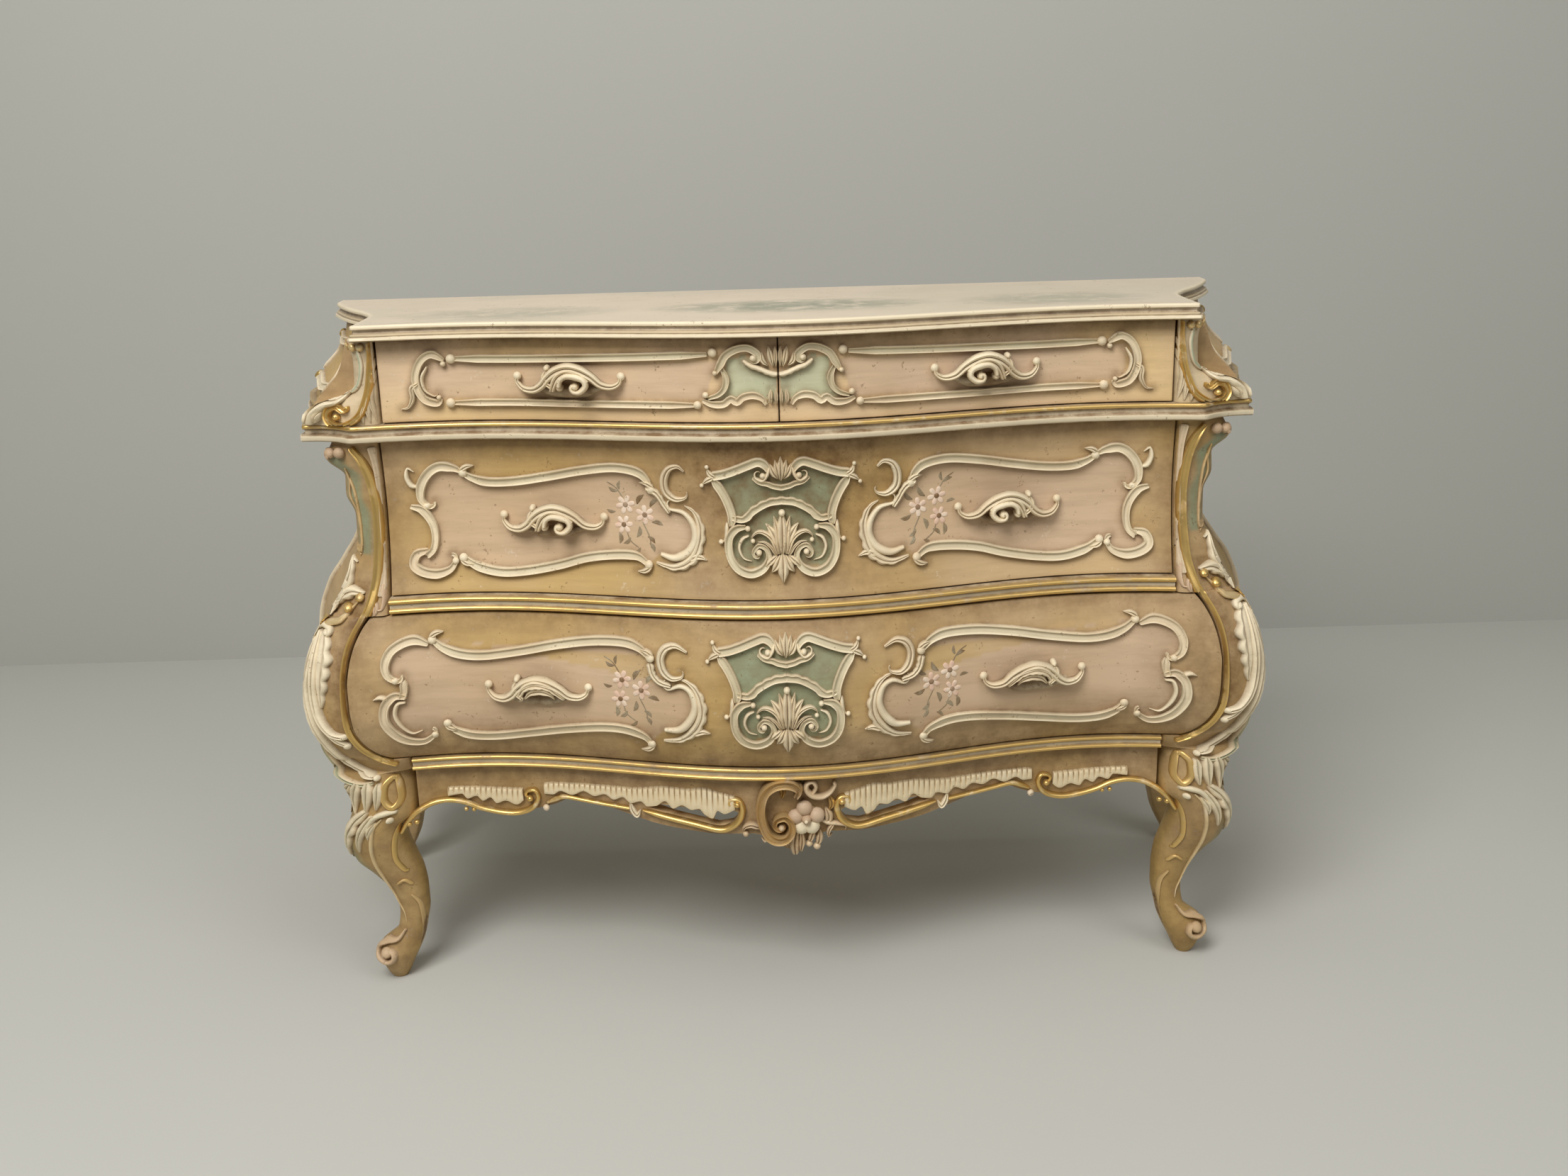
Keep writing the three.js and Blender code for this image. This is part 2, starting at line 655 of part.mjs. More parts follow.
// The lowest front is wider than its box: its edges swell with the stiles
const [lowLow, lowHigh] = [bottomRailTop + drawerGap, midRailLow - drawerGap];
function lowFront() {
  const zs = lipShares.slice(1, -1).map(([share]) => bottomRailTop + lowDrawerTall * share);
  const right = [lowLow, ...zs, lowHigh].map((z) => [lowDrawerHalf(z), z]);
  const outline = [...right, ...[...right].reverse().map(([x, z]) => [-x, z])];
  const widest = openingHalf + lowLip + drawerGap;
  const board = frontBoard(lowerFace, stationsX(-widest, widest), stationsZ(lowLow, lowHigh));
  return geometryOf(solidOf(board).intersect(solidOf(prism(outline, -backY, backY))));
}
drawer('drawer_low', lowerFace, lowFront(), lowLow, lowHigh, -midBox, midBox);

const dividerFront = upperFace(0) + frontThick + drawerGap;
const dividerLow = waistTop + seat;
const halfDivider = dividerThick / 2;
const dividerBack = innerBackY - seat;
const divider = box(-halfDivider, halfDivider, dividerFront, dividerBack, dividerLow, topLow - seat);
add('divider', divider, wood.bare);

const guideX = midHalf - boxSideClear + drawerGap;
for (const [name, low] of [['mid', midRailTop], ['low', bottomRailTop]]) {
  const [near, far] = [stileBack + seat, innerBackY - seat];
  const guide = box(guideX, guideX + guideWide, near, far, low + seat, low + guideTall);
  pair(`${name}_guide`, guide, wood.bare);
}

// Front apron: a scalloped board with a pierced slot on each side of the crest
const apronDropShares = [
  [0, 1], [0.1, 0.77], [0.19, 0.79], [0.27, 0.76], [0.35, 0.71], [0.42, 0.62], [0.49, 0.53],
  [0.59, 0.47], [0.63, 0.55], [0.7, 0.65], [0.74, 0.69], [0.82, 0.6], [0.89, 0.48], [0.96, 0.54],
  [1, 0.67],
];
const apronFace = (x) => lowerFace(x, legHeight) + apronSet;
const slotShares = [
  [0.12, 0.5], [0.16, 0.44], [0.27, 0.46], [0.36, 0.42], [0.27, 0.62], [0.16, 0.66],
];
function apron() {
  const right = apronDropShares.map(([share]) => apronHalf * share);
  const xs = [...right.slice(1).reverse().map((x) => -x), ...right];
  const board = slab(xs, [0, 1], (x, v, w) => {
    const low = legHeight - apronDrop * lookup(apronDropShares, Math.abs(x) / apronHalf);
    return [x, apronFace(x) + w * apronThick, v ? legHeight : low];
  });
  let solid = solidOf(board);
  for (const side of [-1, 1]) {
    const points = slotShares.map(([out, down]) => [side * apronHalf * out, legHeight - apronDrop * down]);
    solid = solid.subtract(solidOf(prism(points, -swell * 2, stileBack * 2)));
  }
  return geometryOf(solid);
}
add('apron', apron(), wood.cream);

// Crest of the apron: a C-scroll, a five-petalled flower and hanging leaves, carved as one block
function crest() {
  const face = apronFace(0) - seat;
  const middleZ = legHeight - apronDrop * 0.53;
  const at = (geometry, x, z, out, [sx, sy, sz], turn = 0) => {
    const placed = geometry.clone().rotateX(Math.PI / 2).scale(sx, sy, sz).rotateY(turn);
    return solidOf(placed.translate(x, face - out, z));
  };
  const ball = new THREE.SphereGeometry(1, 10, 6);
  const ring = new THREE.TorusGeometry(crestScroll, crestScroll * 0.27, 6, 14);
  const heartSizes = [crestPetal * 0.5, crestDeep * 0.5, crestPetal * 0.5];
  const heart = at(ball, crestOff, middleZ, crestDeep * 0.7, heartSizes);
  const bossSizes = [crestPetal * 1.8, crestDeep * 0.8, crestPetal * 1.8];
  let solid = at(ball, crestOff, middleZ, 0, bossSizes).add(heart);
  for (let i = 0; i < petals; i++) {
    const turn = (Math.PI * 2 * i) / petals;
    const x = crestOff + Math.cos(turn) * crestPetal;
    const z = middleZ + Math.sin(turn) * crestPetal;
    const sizes = [crestPetal * 0.7, crestDeep * 0.35, crestPetal * 0.7];
    solid = solid.add(at(ball, x, z, crestDeep * 0.6, sizes));
  }
  const scrollSizes = [1, 1, 1];
  const scrollX = crestOff - crestScroll * 1.3;
  solid = solid.add(at(ring, scrollX, middleZ + crestPetal * 0.6, crestDeep * 0.25, scrollSizes));
  const smallRing = [0.6, 0.8, 0.6];
  const smallX = crestOff + crestScroll * 0.8;
  solid = solid.add(at(ring, smallX, middleZ + crestPetal * 2.3, crestDeep * 0.25, smallRing));
  const leafSizes = [crestPetal * 0.75, crestDeep * 0.5, crestPetal * 1.3];
  for (const lean of [-1, 0, 1]) {
    const x = crestOff / 2 + lean * crestPetal * 1.3;
    const z = middleZ - crestPetal * (2.1 - Math.abs(lean) * 0.7);
    solid = solid.add(at(ball, x, z, crestDeep * 0.15, leafSizes, -lean * 0.7));
  }
  const keep = slab([-apronHalf / 2, apronHalf / 2], [0, legHeight], (x, z, w) => {
    return [x, w ? face : -backY, z - easing];
  });
  const behind = solidOf(slab(stationsX(-crestScroll * 3, crestScroll * 3), [0, legHeight], (x, z, w) => {
    return [x, apronFace(x) - seat + w * backY, z];
  }));
  return geometryOf(solid.intersect(solidOf(keep)).subtract(behind));
}
add('apron_crest', crest(), wood.gilt);

// Flat carving laid on a drawer front: an outline cut from a layer that follows the face
const layer = (face, xs, zs, proud) => solidOf(slab(xs, zs, (x, z, w) => {
  return [x, face(x, z) - (w ? seat : proud), z];
}));
function carved(outline, hole, face, proud) {
  const xs = outline.map(([x]) => x);
  const zs = outline.map(([, z]) => z);
  const margin = trimWide;
  const [x0, x1] = [Math.min(...xs) - margin, Math.max(...xs) + margin];
  const [z0, z1] = [Math.min(...zs) - margin, Math.max(...zs) + margin];
  const across = layer(face, stationsX(x0, x1), stationsZ(z0, z1), proud);
  let solid = solidOf(prism(outline, -backY, backY));
  if (hole) solid = solid.subtract(solidOf(prism(hole, -backY, backY)));
  return geometryOf(solid.intersect(across));
}

// The outline of a band drawn round a closed line of points, one edge inside and one outside
function bandEdges(line, wide) {
  const curve = new THREE.CatmullRomCurve3(line.map(([x, z]) => new THREE.Vector3(x, z, 0)), true);
  const steps = line.length;
  const edges = [[], []];
  for (let i = 0; i < steps; i++) {
    const here = curve.getPoint(i / steps);
    const along = curve.getTangent(i / steps);
    edges.forEach((edge, n) => {
      const off = (n ? -wide : wide) / 2;
      edge.push([here.x + along.y * off, here.y - along.x * off]);
    });
  }
  const areaOf = (edge) => Math.abs(THREE.ShapeUtils.area(edge.map(([x, z]) => new THREE.Vector2(x, z))));
  return edges.sort((a, b) => areaOf(b) - areaOf(a));
}

// Centre lines of the two scrolled frames, as shares of the frame's width, from its outer end,
// and of its height, from its foot
const midFrameShares = [
  [0.06, 0.86], [0.03, 0.68], [0.06, 0.45], [0.04, 0.28], [0.02, 0.1], [0.09, 0.04], [0.17, 0.1],
  [0.29, 0.03], [0.44, 0.05], [0.6, 0.13], [0.7, 0.17], [0.81, 0.1], [0.9, 0.1], [0.97, 0.3],
  [0.96, 0.5], [0.88, 0.62], [0.84, 0.76], [0.78, 0.91], [0.68, 0.94], [0.52, 0.87],
  [0.35, 0.8], [0.22, 0.85], [0.13, 0.94],
];
const lowFrameShares = [
  [0.13, 0.95], [0.06, 0.88], [0.04, 0.72], [0.07, 0.58], [0.035, 0.42], [0.03, 0.22], [0.1, 0.05],
  [0.18, 0.06], [0.25, 0.1], [0.36, 0.04], [0.52, 0.1], [0.68, 0.18], [0.79, 0.17], [0.84, 0.08],
  [0.92, 0.1], [0.98, 0.35], [0.95, 0.58], [0.87, 0.7], [0.83, 0.87], [0.74, 0.96], [0.6, 0.93],
  [0.44, 0.85], [0.27, 0.8], [0.2, 0.9],
];
function frame(shares, outer, inner, low, tall) {
  const line = shares.map(([across, up]) => [outer - (outer - inner) * across, low + tall * up]);
  const [outside, inside] = bandEdges(line, trimWide);
  return carved(outside, inside, lowerFace, trimProud);
}
const midFrameLow = midRailTop + midFrameLift;
const lowFrameLow = bottomRailTop + lowFrameLift;
pair('middle_frame', frame(midFrameShares, midFrameOuter, frameInner, midFrameLow, midFrameTall), wood.cream);
pair('low_frame', frame(lowFrameShares, lowFrameOuter, frameInner, lowFrameLow, lowFrameTall), wood.cream);

// Centre cartouche of a long drawer: half its outline, as shares of its half-width and its height
const cartoucheShares = [
  [0, 0], [0.14, 0.06], [0.3, 0.06], [0.55, 0.12], [0.66, 0.235], [0.75, 0.295], [0.72, 0.376],
  [0.735, 0.49], [0.8, 0.59], [0.92, 0.68], [1, 0.73], [0.96, 0.83], [0.88, 0.88], [0.65, 0.86],
  [0.36, 0.93], [0.22, 0.99],
];
function cartouche(low, tall) {
  const right = cartoucheShares.map(([across, up]) => [cartoucheHalf * across, low + tall * up]);
  const left = right.slice(1).reverse().map(([x, z]) => [-x, z]);
  return carved([...right, ...left], null, lowerFace, cartoucheProud);
}
add('middle_cartouche', cartouche(midRailTop + midCartoucheLift, midCartoucheTall), wood.cream);
add('low_cartouche', cartouche(bottomRailTop + lowCartoucheLift, lowCartoucheTall), wood.cream);

// Moulding of a short drawer: C-scroll, two bands and half of a cartouche, in one piece
const shortOutlineShares = [
  [0.005, 0.12], [0.05, 0.2], [0.11, 0.12], [0.19, 0.04], [0.6, 0.02], [0.9, 0], [0.97, 0.08],
  [1, 0.35], [0.99, 0.62], [0.96, 0.82], [0.9, 0.88], [0.6, 0.88], [0.22, 0.88], [0.14, 0.93],
  [0.09, 1], [0.005, 0.95],
];
const shortHoleShares = [
  [0.16, 0.3], [0.22, 0.18], [0.6, 0.16], [0.9, 0.15], [0.95, 0.25], [0.965, 0.45], [0.95, 0.65],
  [0.9, 0.74], [0.6, 0.74], [0.24, 0.74], [0.16, 0.62],
];
function shortMoulding() {
  const low = waistTop + shortTrimLift;
  const scaled = (shares) => shares.map(([across, up]) => [shortTrimLong * across, low + shortTrimTall * up]);
  return carved(scaled(shortOutlineShares), scaled(shortHoleShares), shortFace, trimProud);
}
pair('short_moulding', shortMoulding(), wood.cream);

// Handle: an arched bar whose curled ends are seated on the drawer front
// Along the bar: share of its half-length, then lift and reach as shares of its height and reach
const handleShares = [
  [-1, 0.62, 0.12], [-0.93, 0.25, 0.2], [-0.75, 0.1, 0.45], [-0.5, 0.38, 0.85], [-0.25, 0.72, 1],
  [0, 0.82, 1],
  [0.25, 0.72, 1], [0.5, 0.38, 0.85], [0.75, 0.1, 0.45], [0.93, 0.25, 0.2], [1, 0.62, 0.12],
];
function handle(middleX, low, face) {
  const rings = handleShares.map(([along, lift, reach], i) => {
    const x = middleX + (handleLong / 2) * along;
    const z = low + handleTall * lift;
    const out = face(x, z) - handleReach * reach;
    const ends = i === 0 || i === handleShares.length - 1;
    const half = (handleBar / 2) * (ends ? 0.6 : 1);
    const rear = out + handleBar;
    return [[x, out, z - half], [x, out, z + half], [x, rear, z + half], [x, rear, z - half]];
  });
  const bar = solidOf(loft(rings, ([, y, z]) => new THREE.Vector2(y, z)));
  const margin = handleLong / 2 + trimWide;
  const xs = stationsX(middleX - margin, middleX + margin);
  const zs = stationsZ(low - handleBar, low + handleTall + handleBar);
  const front = slab(xs, zs, (x, z, w) => [x, face(x, z) - (w ? -handleReach : seat), z]);
  return geometryOf(bar.subtract(solidOf(front)));
}
const handleLow = (railTop, drawerTall, rise) => railTop + (drawerTall - handleTall) / 2 + rise;
const topHandleLow = handleLow(waistTop, topDrawerTall, topHandleRise);
const midHandleLow = handleLow(midRailTop, midDrawerTall, 0);
const lowHandleLow = handleLow(bottomRailTop, lowDrawerTall, lowHandleRise);
pair('top_handle', handle(topHandleX, topHandleLow, shortFace), wood.cream);
pair('middle_handle', handle(midHandleX, midHandleLow, lowerFace), wood.cream);
pair('low_handle', handle(lowHandleX, lowHandleLow, lowerFace), wood.cream);

const group = new THREE.Group();
group.add(chest);
chest.updateMatrixWorld(true);
const bounds = new THREE.Box3().setFromObject(chest);
chest.position.y = -(bounds.min.y + bounds.max.y) / 2;
export default group;
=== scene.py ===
# %% [markdown]
# # A painted bombe chest of drawers
# The chest is a wooden carcass that swells in front and at the sides. Its drawers are painted in
# warm peach, and almost every edge carries a carved or gilded moulding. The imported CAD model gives
# the fixed frame, and this script dresses it: smooth painted fronts, carved rococo ornament and
# worn gilding. Everything is worked out in millimetres and placed in metres at the last moment.

# %% Load the frame
import math

import bpy
import numpy as np
from mathutils import Matrix, Vector
from mathutils.bvhtree import BVHTree


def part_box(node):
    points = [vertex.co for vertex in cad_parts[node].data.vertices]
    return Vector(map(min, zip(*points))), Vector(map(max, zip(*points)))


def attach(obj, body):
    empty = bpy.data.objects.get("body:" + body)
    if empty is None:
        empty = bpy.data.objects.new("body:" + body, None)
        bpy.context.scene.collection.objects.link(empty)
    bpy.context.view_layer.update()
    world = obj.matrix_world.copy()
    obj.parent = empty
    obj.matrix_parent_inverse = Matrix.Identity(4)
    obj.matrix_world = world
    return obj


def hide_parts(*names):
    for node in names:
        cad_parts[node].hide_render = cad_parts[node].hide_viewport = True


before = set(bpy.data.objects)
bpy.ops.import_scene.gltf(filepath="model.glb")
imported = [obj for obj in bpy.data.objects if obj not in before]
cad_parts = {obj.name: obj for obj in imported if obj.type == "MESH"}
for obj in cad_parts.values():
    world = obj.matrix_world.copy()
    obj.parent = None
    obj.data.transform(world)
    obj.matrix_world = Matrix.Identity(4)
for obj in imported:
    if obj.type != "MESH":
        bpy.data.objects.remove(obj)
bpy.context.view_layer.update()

# %% [markdown]
# The chest was measured from the plane of its two front corners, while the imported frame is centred
# front to back. One shift between the two is all that is needed, and it comes from the flat back of
# the top board. Drawings stay in millimetres, because that is how a cabinet maker reads them.

# %% Millimetres and the shift to the frame
MM = 0.001
BACK_Y = 385.0
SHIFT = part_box("top")[1].y / MM - BACK_Y


def placed(points):
    """Points in millimetres from the front plane, as metres in the frame"""
    return (np.asarray(points, float) + [0.0, SHIFT, 0.0]) * MM


print("shift of the front plane:", round(SHIFT, 2), "mm")

# %% [markdown]
# The camera stands where the view was taken from: a little above the top board, looking slightly
# down, and tilted a degree and a half. The place was solved from the corners of the chest.

# %% Camera
FRAME_WIDE = 2212
FOCAL_PIXELS = 2114.84
SENSOR = 36.0
EYE = Vector((-19.6, -1831.6, 1052.7))
YAW, PITCH, ROLL = 0.0112, 0.27505, -0.0263

level_right = Vector((math.cos(YAW), -math.sin(YAW), 0.0))
level_ahead = Vector((math.sin(YAW), math.cos(YAW), 0.0))
straight_up = Vector((0.0, 0.0, 1.0))
ahead = level_ahead * math.cos(PITCH) - straight_up * math.sin(PITCH)
over = straight_up * math.cos(PITCH) + level_ahead * math.sin(PITCH)
right = level_right * math.cos(ROLL) + over * math.sin(ROLL)
upward = over * math.cos(ROLL) - level_right * math.sin(ROLL)


def deselect():
    for item in bpy.context.selected_objects:
        item.select_set(False)


deselect()
eye = (EYE + Vector((0.0, SHIFT, 0.0))) * MM
bpy.ops.object.camera_add(location=eye)
camera = bpy.context.active_object
camera.matrix_world = Matrix((
    (right.x, upward.x, -ahead.x, eye.x),
    (right.y, upward.y, -ahead.y, eye.y),
    (right.z, upward.z, -ahead.z, eye.z),
    (0.0, 0.0, 0.0, 1.0),
))
camera.data.sensor_width = SENSOR
camera.data.lens = FOCAL_PIXELS / FRAME_WIDE * SENSOR
bpy.context.scene.camera = camera
print("camera at", [round(v, 3) for v in eye], "lens", round(camera.data.lens, 1))

# %% [markdown]
# Shader sums are easier to read as sums. A small class wraps a socket, so that a plus or a times
# between two sockets adds the Math node for it. Every other node comes from one method, which takes
# the node's type, its settings and the values or links of its sockets.

# %% Shader arithmetic
MIX_SHARE, MIX_FIRST, MIX_SECOND, MIXED_COLOUR = 0, 6, 7, 2
PLACE_IN_OBJECT, ATTRIBUTE_NUMBER, BACKFACING = 3, 2, 6


class Wire:
    """A shader socket on which arithmetic can be written"""

    def __init__(self, paint, socket):
        self.paint, self.socket = paint, socket

    def maths(self, operation, first, second):
        sums = {"operation": operation}
        return self.paint.add("ShaderNodeMath", sums, {0: first, 1: second})

    def __add__(self, other):
        return self.maths("ADD", self, other)

    def __sub__(self, other):
        return self.maths("SUBTRACT", self, other)

    def __rsub__(self, other):
        return self.maths("SUBTRACT", other, self)

    def __mul__(self, other):
        return self.maths("MULTIPLY", self, other)

    __radd__, __rmul__ = __add__, __mul__

    def sibling(self, out):
        """Another output of the same node"""
        return Wire(self.paint, self.socket.node.outputs[out])


class Paint:
    """A material, and the method that adds its nodes"""

    def __init__(self, name, slot):
        self.slot = slot
        self.material = bpy.data.materials.new(name)
        self.material.use_nodes = True
        self.tree = self.material.node_tree
        self.tree.nodes.clear()

    def add(self, kind, settings=None, sockets=None, out=0):
        node = self.tree.nodes.new(kind)
        for key, value in (settings or {}).items():
            setattr(node, key, value)
        for key, value in (sockets or {}).items():
            if isinstance(value, Wire):
                self.tree.links.new(value.socket, node.inputs[key])
            else:
                node.inputs[key].default_value = value
        return Wire(self, node.outputs[out]) if len(node.outputs) else None

    def where(self):
        """The point's place in its own object, in metres"""
        return self.add("ShaderNodeTexCoord", out=PLACE_IN_OBJECT)

    def mix(self, share, first, second):
        """Blends two colours by a share from 0 to 1"""
        sockets = {MIX_SHARE: share, MIX_FIRST: first, MIX_SECOND: second}
        return self.add("ShaderNodeMix", {"data_type": "RGBA"}, sockets, out=MIXED_COLOUR)

    def noise(self, where, scale, detail, rough=0.55):
        return self.add("ShaderNodeTexNoise", None, {
            "Vector": where, "Scale": scale, "Detail": detail, "Roughness": rough,
        })

    def ramp(self, value, low, high):
        """Stretches a value so that it runs from 0 at low to 1 at high"""
        return self.add("ShaderNodeMapRange", {"clamp": True}, {
            "Value": value, "From Min": low, "From Max": high,
        })

    def finish(self, base, roughness, relief, strength, distance, **more):
        """The shader at the end of a finish, with its relief as a bump"""
        bump = self.add("ShaderNodeBump", None, {
            "Strength": strength, "Distance": distance, "Height": relief,
        })
        shader = self.add("ShaderNodeBsdfPrincipled", None, {
            "Base Color": base, "Roughness": roughness, **more, "Normal": bump,
        })
        self.add("ShaderNodeOutputMaterial", None, {"Surface": shader})
        return self

    def attribute(self, name):
        """A number that the mesh carries at each point, 0 where it carries none"""
        return self.add("ShaderNodeAttribute", {"attribute_name": name}, out=ATTRIBUTE_NUMBER)


def colour(red, green, blue):
    return (red, green, blue, 1.0)


print("shader arithmetic ready")

# %% [markdown]
# One recipe makes every painted finish on the chest. The decorator laid a ground colour, shaded it
# in a second colour, tinted some fields, gilded the beads, and rubbed a brown glaze over it all that
# stayed in the hollows. The meshes carry those masks as attributes, so the paint follows the
# carving exactly. The glaze mask also carries painted shade and painted shadow on the drawer
# fronts, in the same brown. Noise at four scales gives clouds of colour, brush marks, specks and
# rubbed patches.

# %% Painted finishes
# brown of the glaze and of painted shade; brush marks and chips use it too
GLAZE_AND_SHADE = colour(0.160, 0.076, 0.016)
OLIVE = colour(0.33, 0.42, 0.27)
# a lighter sage: painted light for the green of the short drawers
LIT_SAGE = colour(0.53, 0.58, 0.39)
ROSE = colour(0.64, 0.465, 0.325)
CREAM = colour(0.84, 0.72, 0.50)
GOLD = colour(0.74, 0.50, 0.17)
GESSO = colour(0.78, 0.68, 0.53)
MOTIF = colour(0.25, 0.26, 0.18)

STREAKS = (9.0, 9.0, 70.0)
CLOUDED, MARKED, WORN, CHIPPED = (0.40, 0.62), (0.42, 0.78), (0.60, 0.66), (0.35, 0.39)
RUBBED, GLAZE_AND_SHADE_SPAN = (0.54, 0.68), (0.35, 0.7)
ROSE_SHARE, WORN_SHARE, CHIP_SHARE, MOST_GLAZE_AND_SHADE = 0.65, 0.35, 0.55, 0.92
SCROLLS = ((0.02, 0.17, 0.85), (0.36, 0.12, 0.5), (-0.34, 0.14, 0.45))
SCROLL_FORWARD, SCROLL_DEEP = 0.03, 0.085


def faded(paint, where, base):
    """Three old painted scrolls on the top, worn to patches of grey green and brown"""
    spread = paint.noise(where, 26.0, 5.0, 0.7)
    x = paint.add("ShaderNodeSeparateXYZ", None, {"Vector": where})
    y = x.sibling(1)
    for middle, wide, strength in SCROLLS:
        across = (x - middle) * (1.0 / wide)
        along = (y + SCROLL_FORWARD) * (1.0 / SCROLL_DEEP)
        away = across * across + along * along + 1.6 * (spread - 0.5)
        near = (1.0 - paint.ramp(away, 0.3, 1.3)) * paint.ramp(spread, 0.36, 0.54)
        base = paint.mix(near * strength, base, MOTIF)
    return base


def painted(name, slot, first, second, cloud_scale=5.0, patch=0.8, rough=0.5, brush=0.25,
            motif=False, sea=OLIVE):
    """Ground colour, second colour, tinted fields, wear and chips, gold leaf, and the glaze with painted
    shade
    """
    paint = Paint(name, slot)
    where = paint.where()
    streaked = paint.add("ShaderNodeMapping", None, {"Vector": where, "Scale": STREAKS})
    clouds = paint.noise(where, cloud_scale, 2.0)
    marks = paint.noise(streaked, 1.0, 4.0, 0.65)
    specks = paint.noise(where, 260.0, 2.0, 0.6)
    rubs = paint.noise(where, 38.0, 5.0, 0.7)

    base = paint.mix(paint.ramp(clouds, *CLOUDED) * patch, first, second)
    if motif:
        base = faded(paint, where, base)
    base = paint.mix(paint.attribute("rose") * ROSE_SHARE, base, ROSE)
    base = paint.mix(paint.attribute("cream"), base, CREAM)
    base = paint.mix(paint.attribute("green") * (0.62 + 0.5 * clouds), base, sea)
    base = paint.mix(paint.ramp(marks, *MARKED) * brush, base, GLAZE_AND_SHADE)
    worn = paint.ramp(specks * 0.4 + rubs * 0.6, *WORN)
    base = paint.mix(worn * WORN_SHARE, base, GESSO)
    chips = 1.0 - paint.ramp(specks * 0.5 + rubs * 0.5, *CHIPPED)
    base = paint.mix(chips * CHIP_SHARE, base, GLAZE_AND_SHADE)
    leaf = paint.attribute("gilt") * (1.0 - 0.75 * paint.ramp(rubs, *RUBBED))
    base = paint.mix(leaf, base, GOLD)
    # the glaze, and the painted shade and shadow held in the same mask, darken the paint towards that
    # brown
    glaze_and_shade_share = paint.attribute("glaze") * (0.55 + 0.75 * paint.ramp(rubs, *GLAZE_AND_SHADE_SPAN))
    glaze_and_shade_share = paint.add("ShaderNodeMath", {"operation": "MINIMUM"}, {0: glaze_and_shade_share, 1: MOST_GLAZE_AND_SHADE})
    base = paint.mix(glaze_and_shade_share, base, GLAZE_AND_SHADE)

    roughness = rough + 0.16 * marks - 0.22 * leaf
    relief = 0.5 * marks + 0.3 * rubs + 0.2 * specks
    return paint.finish(base, roughness, relief, 0.22, 0.0012, Metallic=leaf * 0.8)


peach, ochre = colour(0.60, 0.42, 0.22), colour(0.55, 0.36, 0.12)
ground = painted("painted_ground", "painted_ground", peach, ochre)
# a lighter copy of the ground and its green for the short drawers: painted light for the light they
# catch
lit_peach, lit_ochre = colour(0.80, 0.585, 0.37), colour(0.76, 0.54, 0.25)
pale_ground = painted("pale_ground", "painted_ground", lit_peach, lit_ochre, sea=LIT_SAGE)
pale_rose, pale_sage = colour(0.66, 0.55, 0.415), colour(0.57, 0.50, 0.375)
tabletop = painted("painted_top", "painted_top", pale_rose, pale_sage, 3.0, 0.7, 0.42, 0.1,
                   motif=True)
warm_cream = colour(0.74, 0.595, 0.39)
carving = painted("cream_carving", "cream_carving", CREAM, warm_cream, 14.0, 0.8, 0.5, 0.16)
gilding = painted("gilding", "gilding", colour(0.42, 0.28, 0.14), warm_cream, 14.0, 0.6, 0.5, 0.3)
print("painted finishes:", [p.material.name for p in (ground, tabletop, carving, gilding)])

# %% [markdown]
# Inside, the drawers and boards are bare softwood. One noise, stretched along the board, is grain
# enough at this distance. It runs across the chest on a board that is wider than it is deep, and
# from front to back on the others.

# %% Bare wood
PINE, DARK_PINE, DULL_PINE = colour(0.46, 0.31, 0.17), colour(0.30, 0.18, 0.09), colour(0.36, 0.25, 0.15)
FINE_GRAIN, LONG_GRAIN = 60.0, 3.5


def bare(name, grain_scale):
    paint = Paint(name, "bare_wood")
    where = paint.where()
    along = paint.add("ShaderNodeMapping", None, {"Vector": where, "Scale": grain_scale})
    grain = paint.noise(along, 1.4, 5.0, 0.6)
    tone = paint.noise(where, 4.0, 2.0)
    base = paint.mix(paint.ramp(grain, 0.3, 0.7), PINE, DARK_PINE)
    base = paint.mix(0.5 * tone, base, DULL_PINE)
    return paint.finish(base, 0.66 + 0.2 * grain, grain, 0.15, 0.0008)


softwood = bare("bare_wood", (FINE_GRAIN, LONG_GRAIN, FINE_GRAIN))
crosswise = bare("bare_wood_crosswise", (LONG_GRAIN, FINE_GRAIN, FINE_GRAIN))
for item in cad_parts.values():
    for holder in item.material_slots:
        across = item.dimensions.x > item.dimensions.y
        holder.material = (crosswise if across else softwood).material
print("bare wood on", len(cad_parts), "CAD nodes until a finish replaces it")

# %% [markdown]
# Nearly every piece here is a grid or a tube that has been bent into place. By hand, one would add
# a grid, drag its rows, and close its seam. `woven` does exactly that: a grid primitive with one
# row for each section, its points moved to where the formula puts them, doubles merged so that seams
# and poles close, and the normals turned outwards.

# %% A grid bent into shape
TOUCH = 0.00002
MASKS = ("glaze", "green", "gilt", "cream", "rose")
SIDES = (("left", -1), ("right", 1))


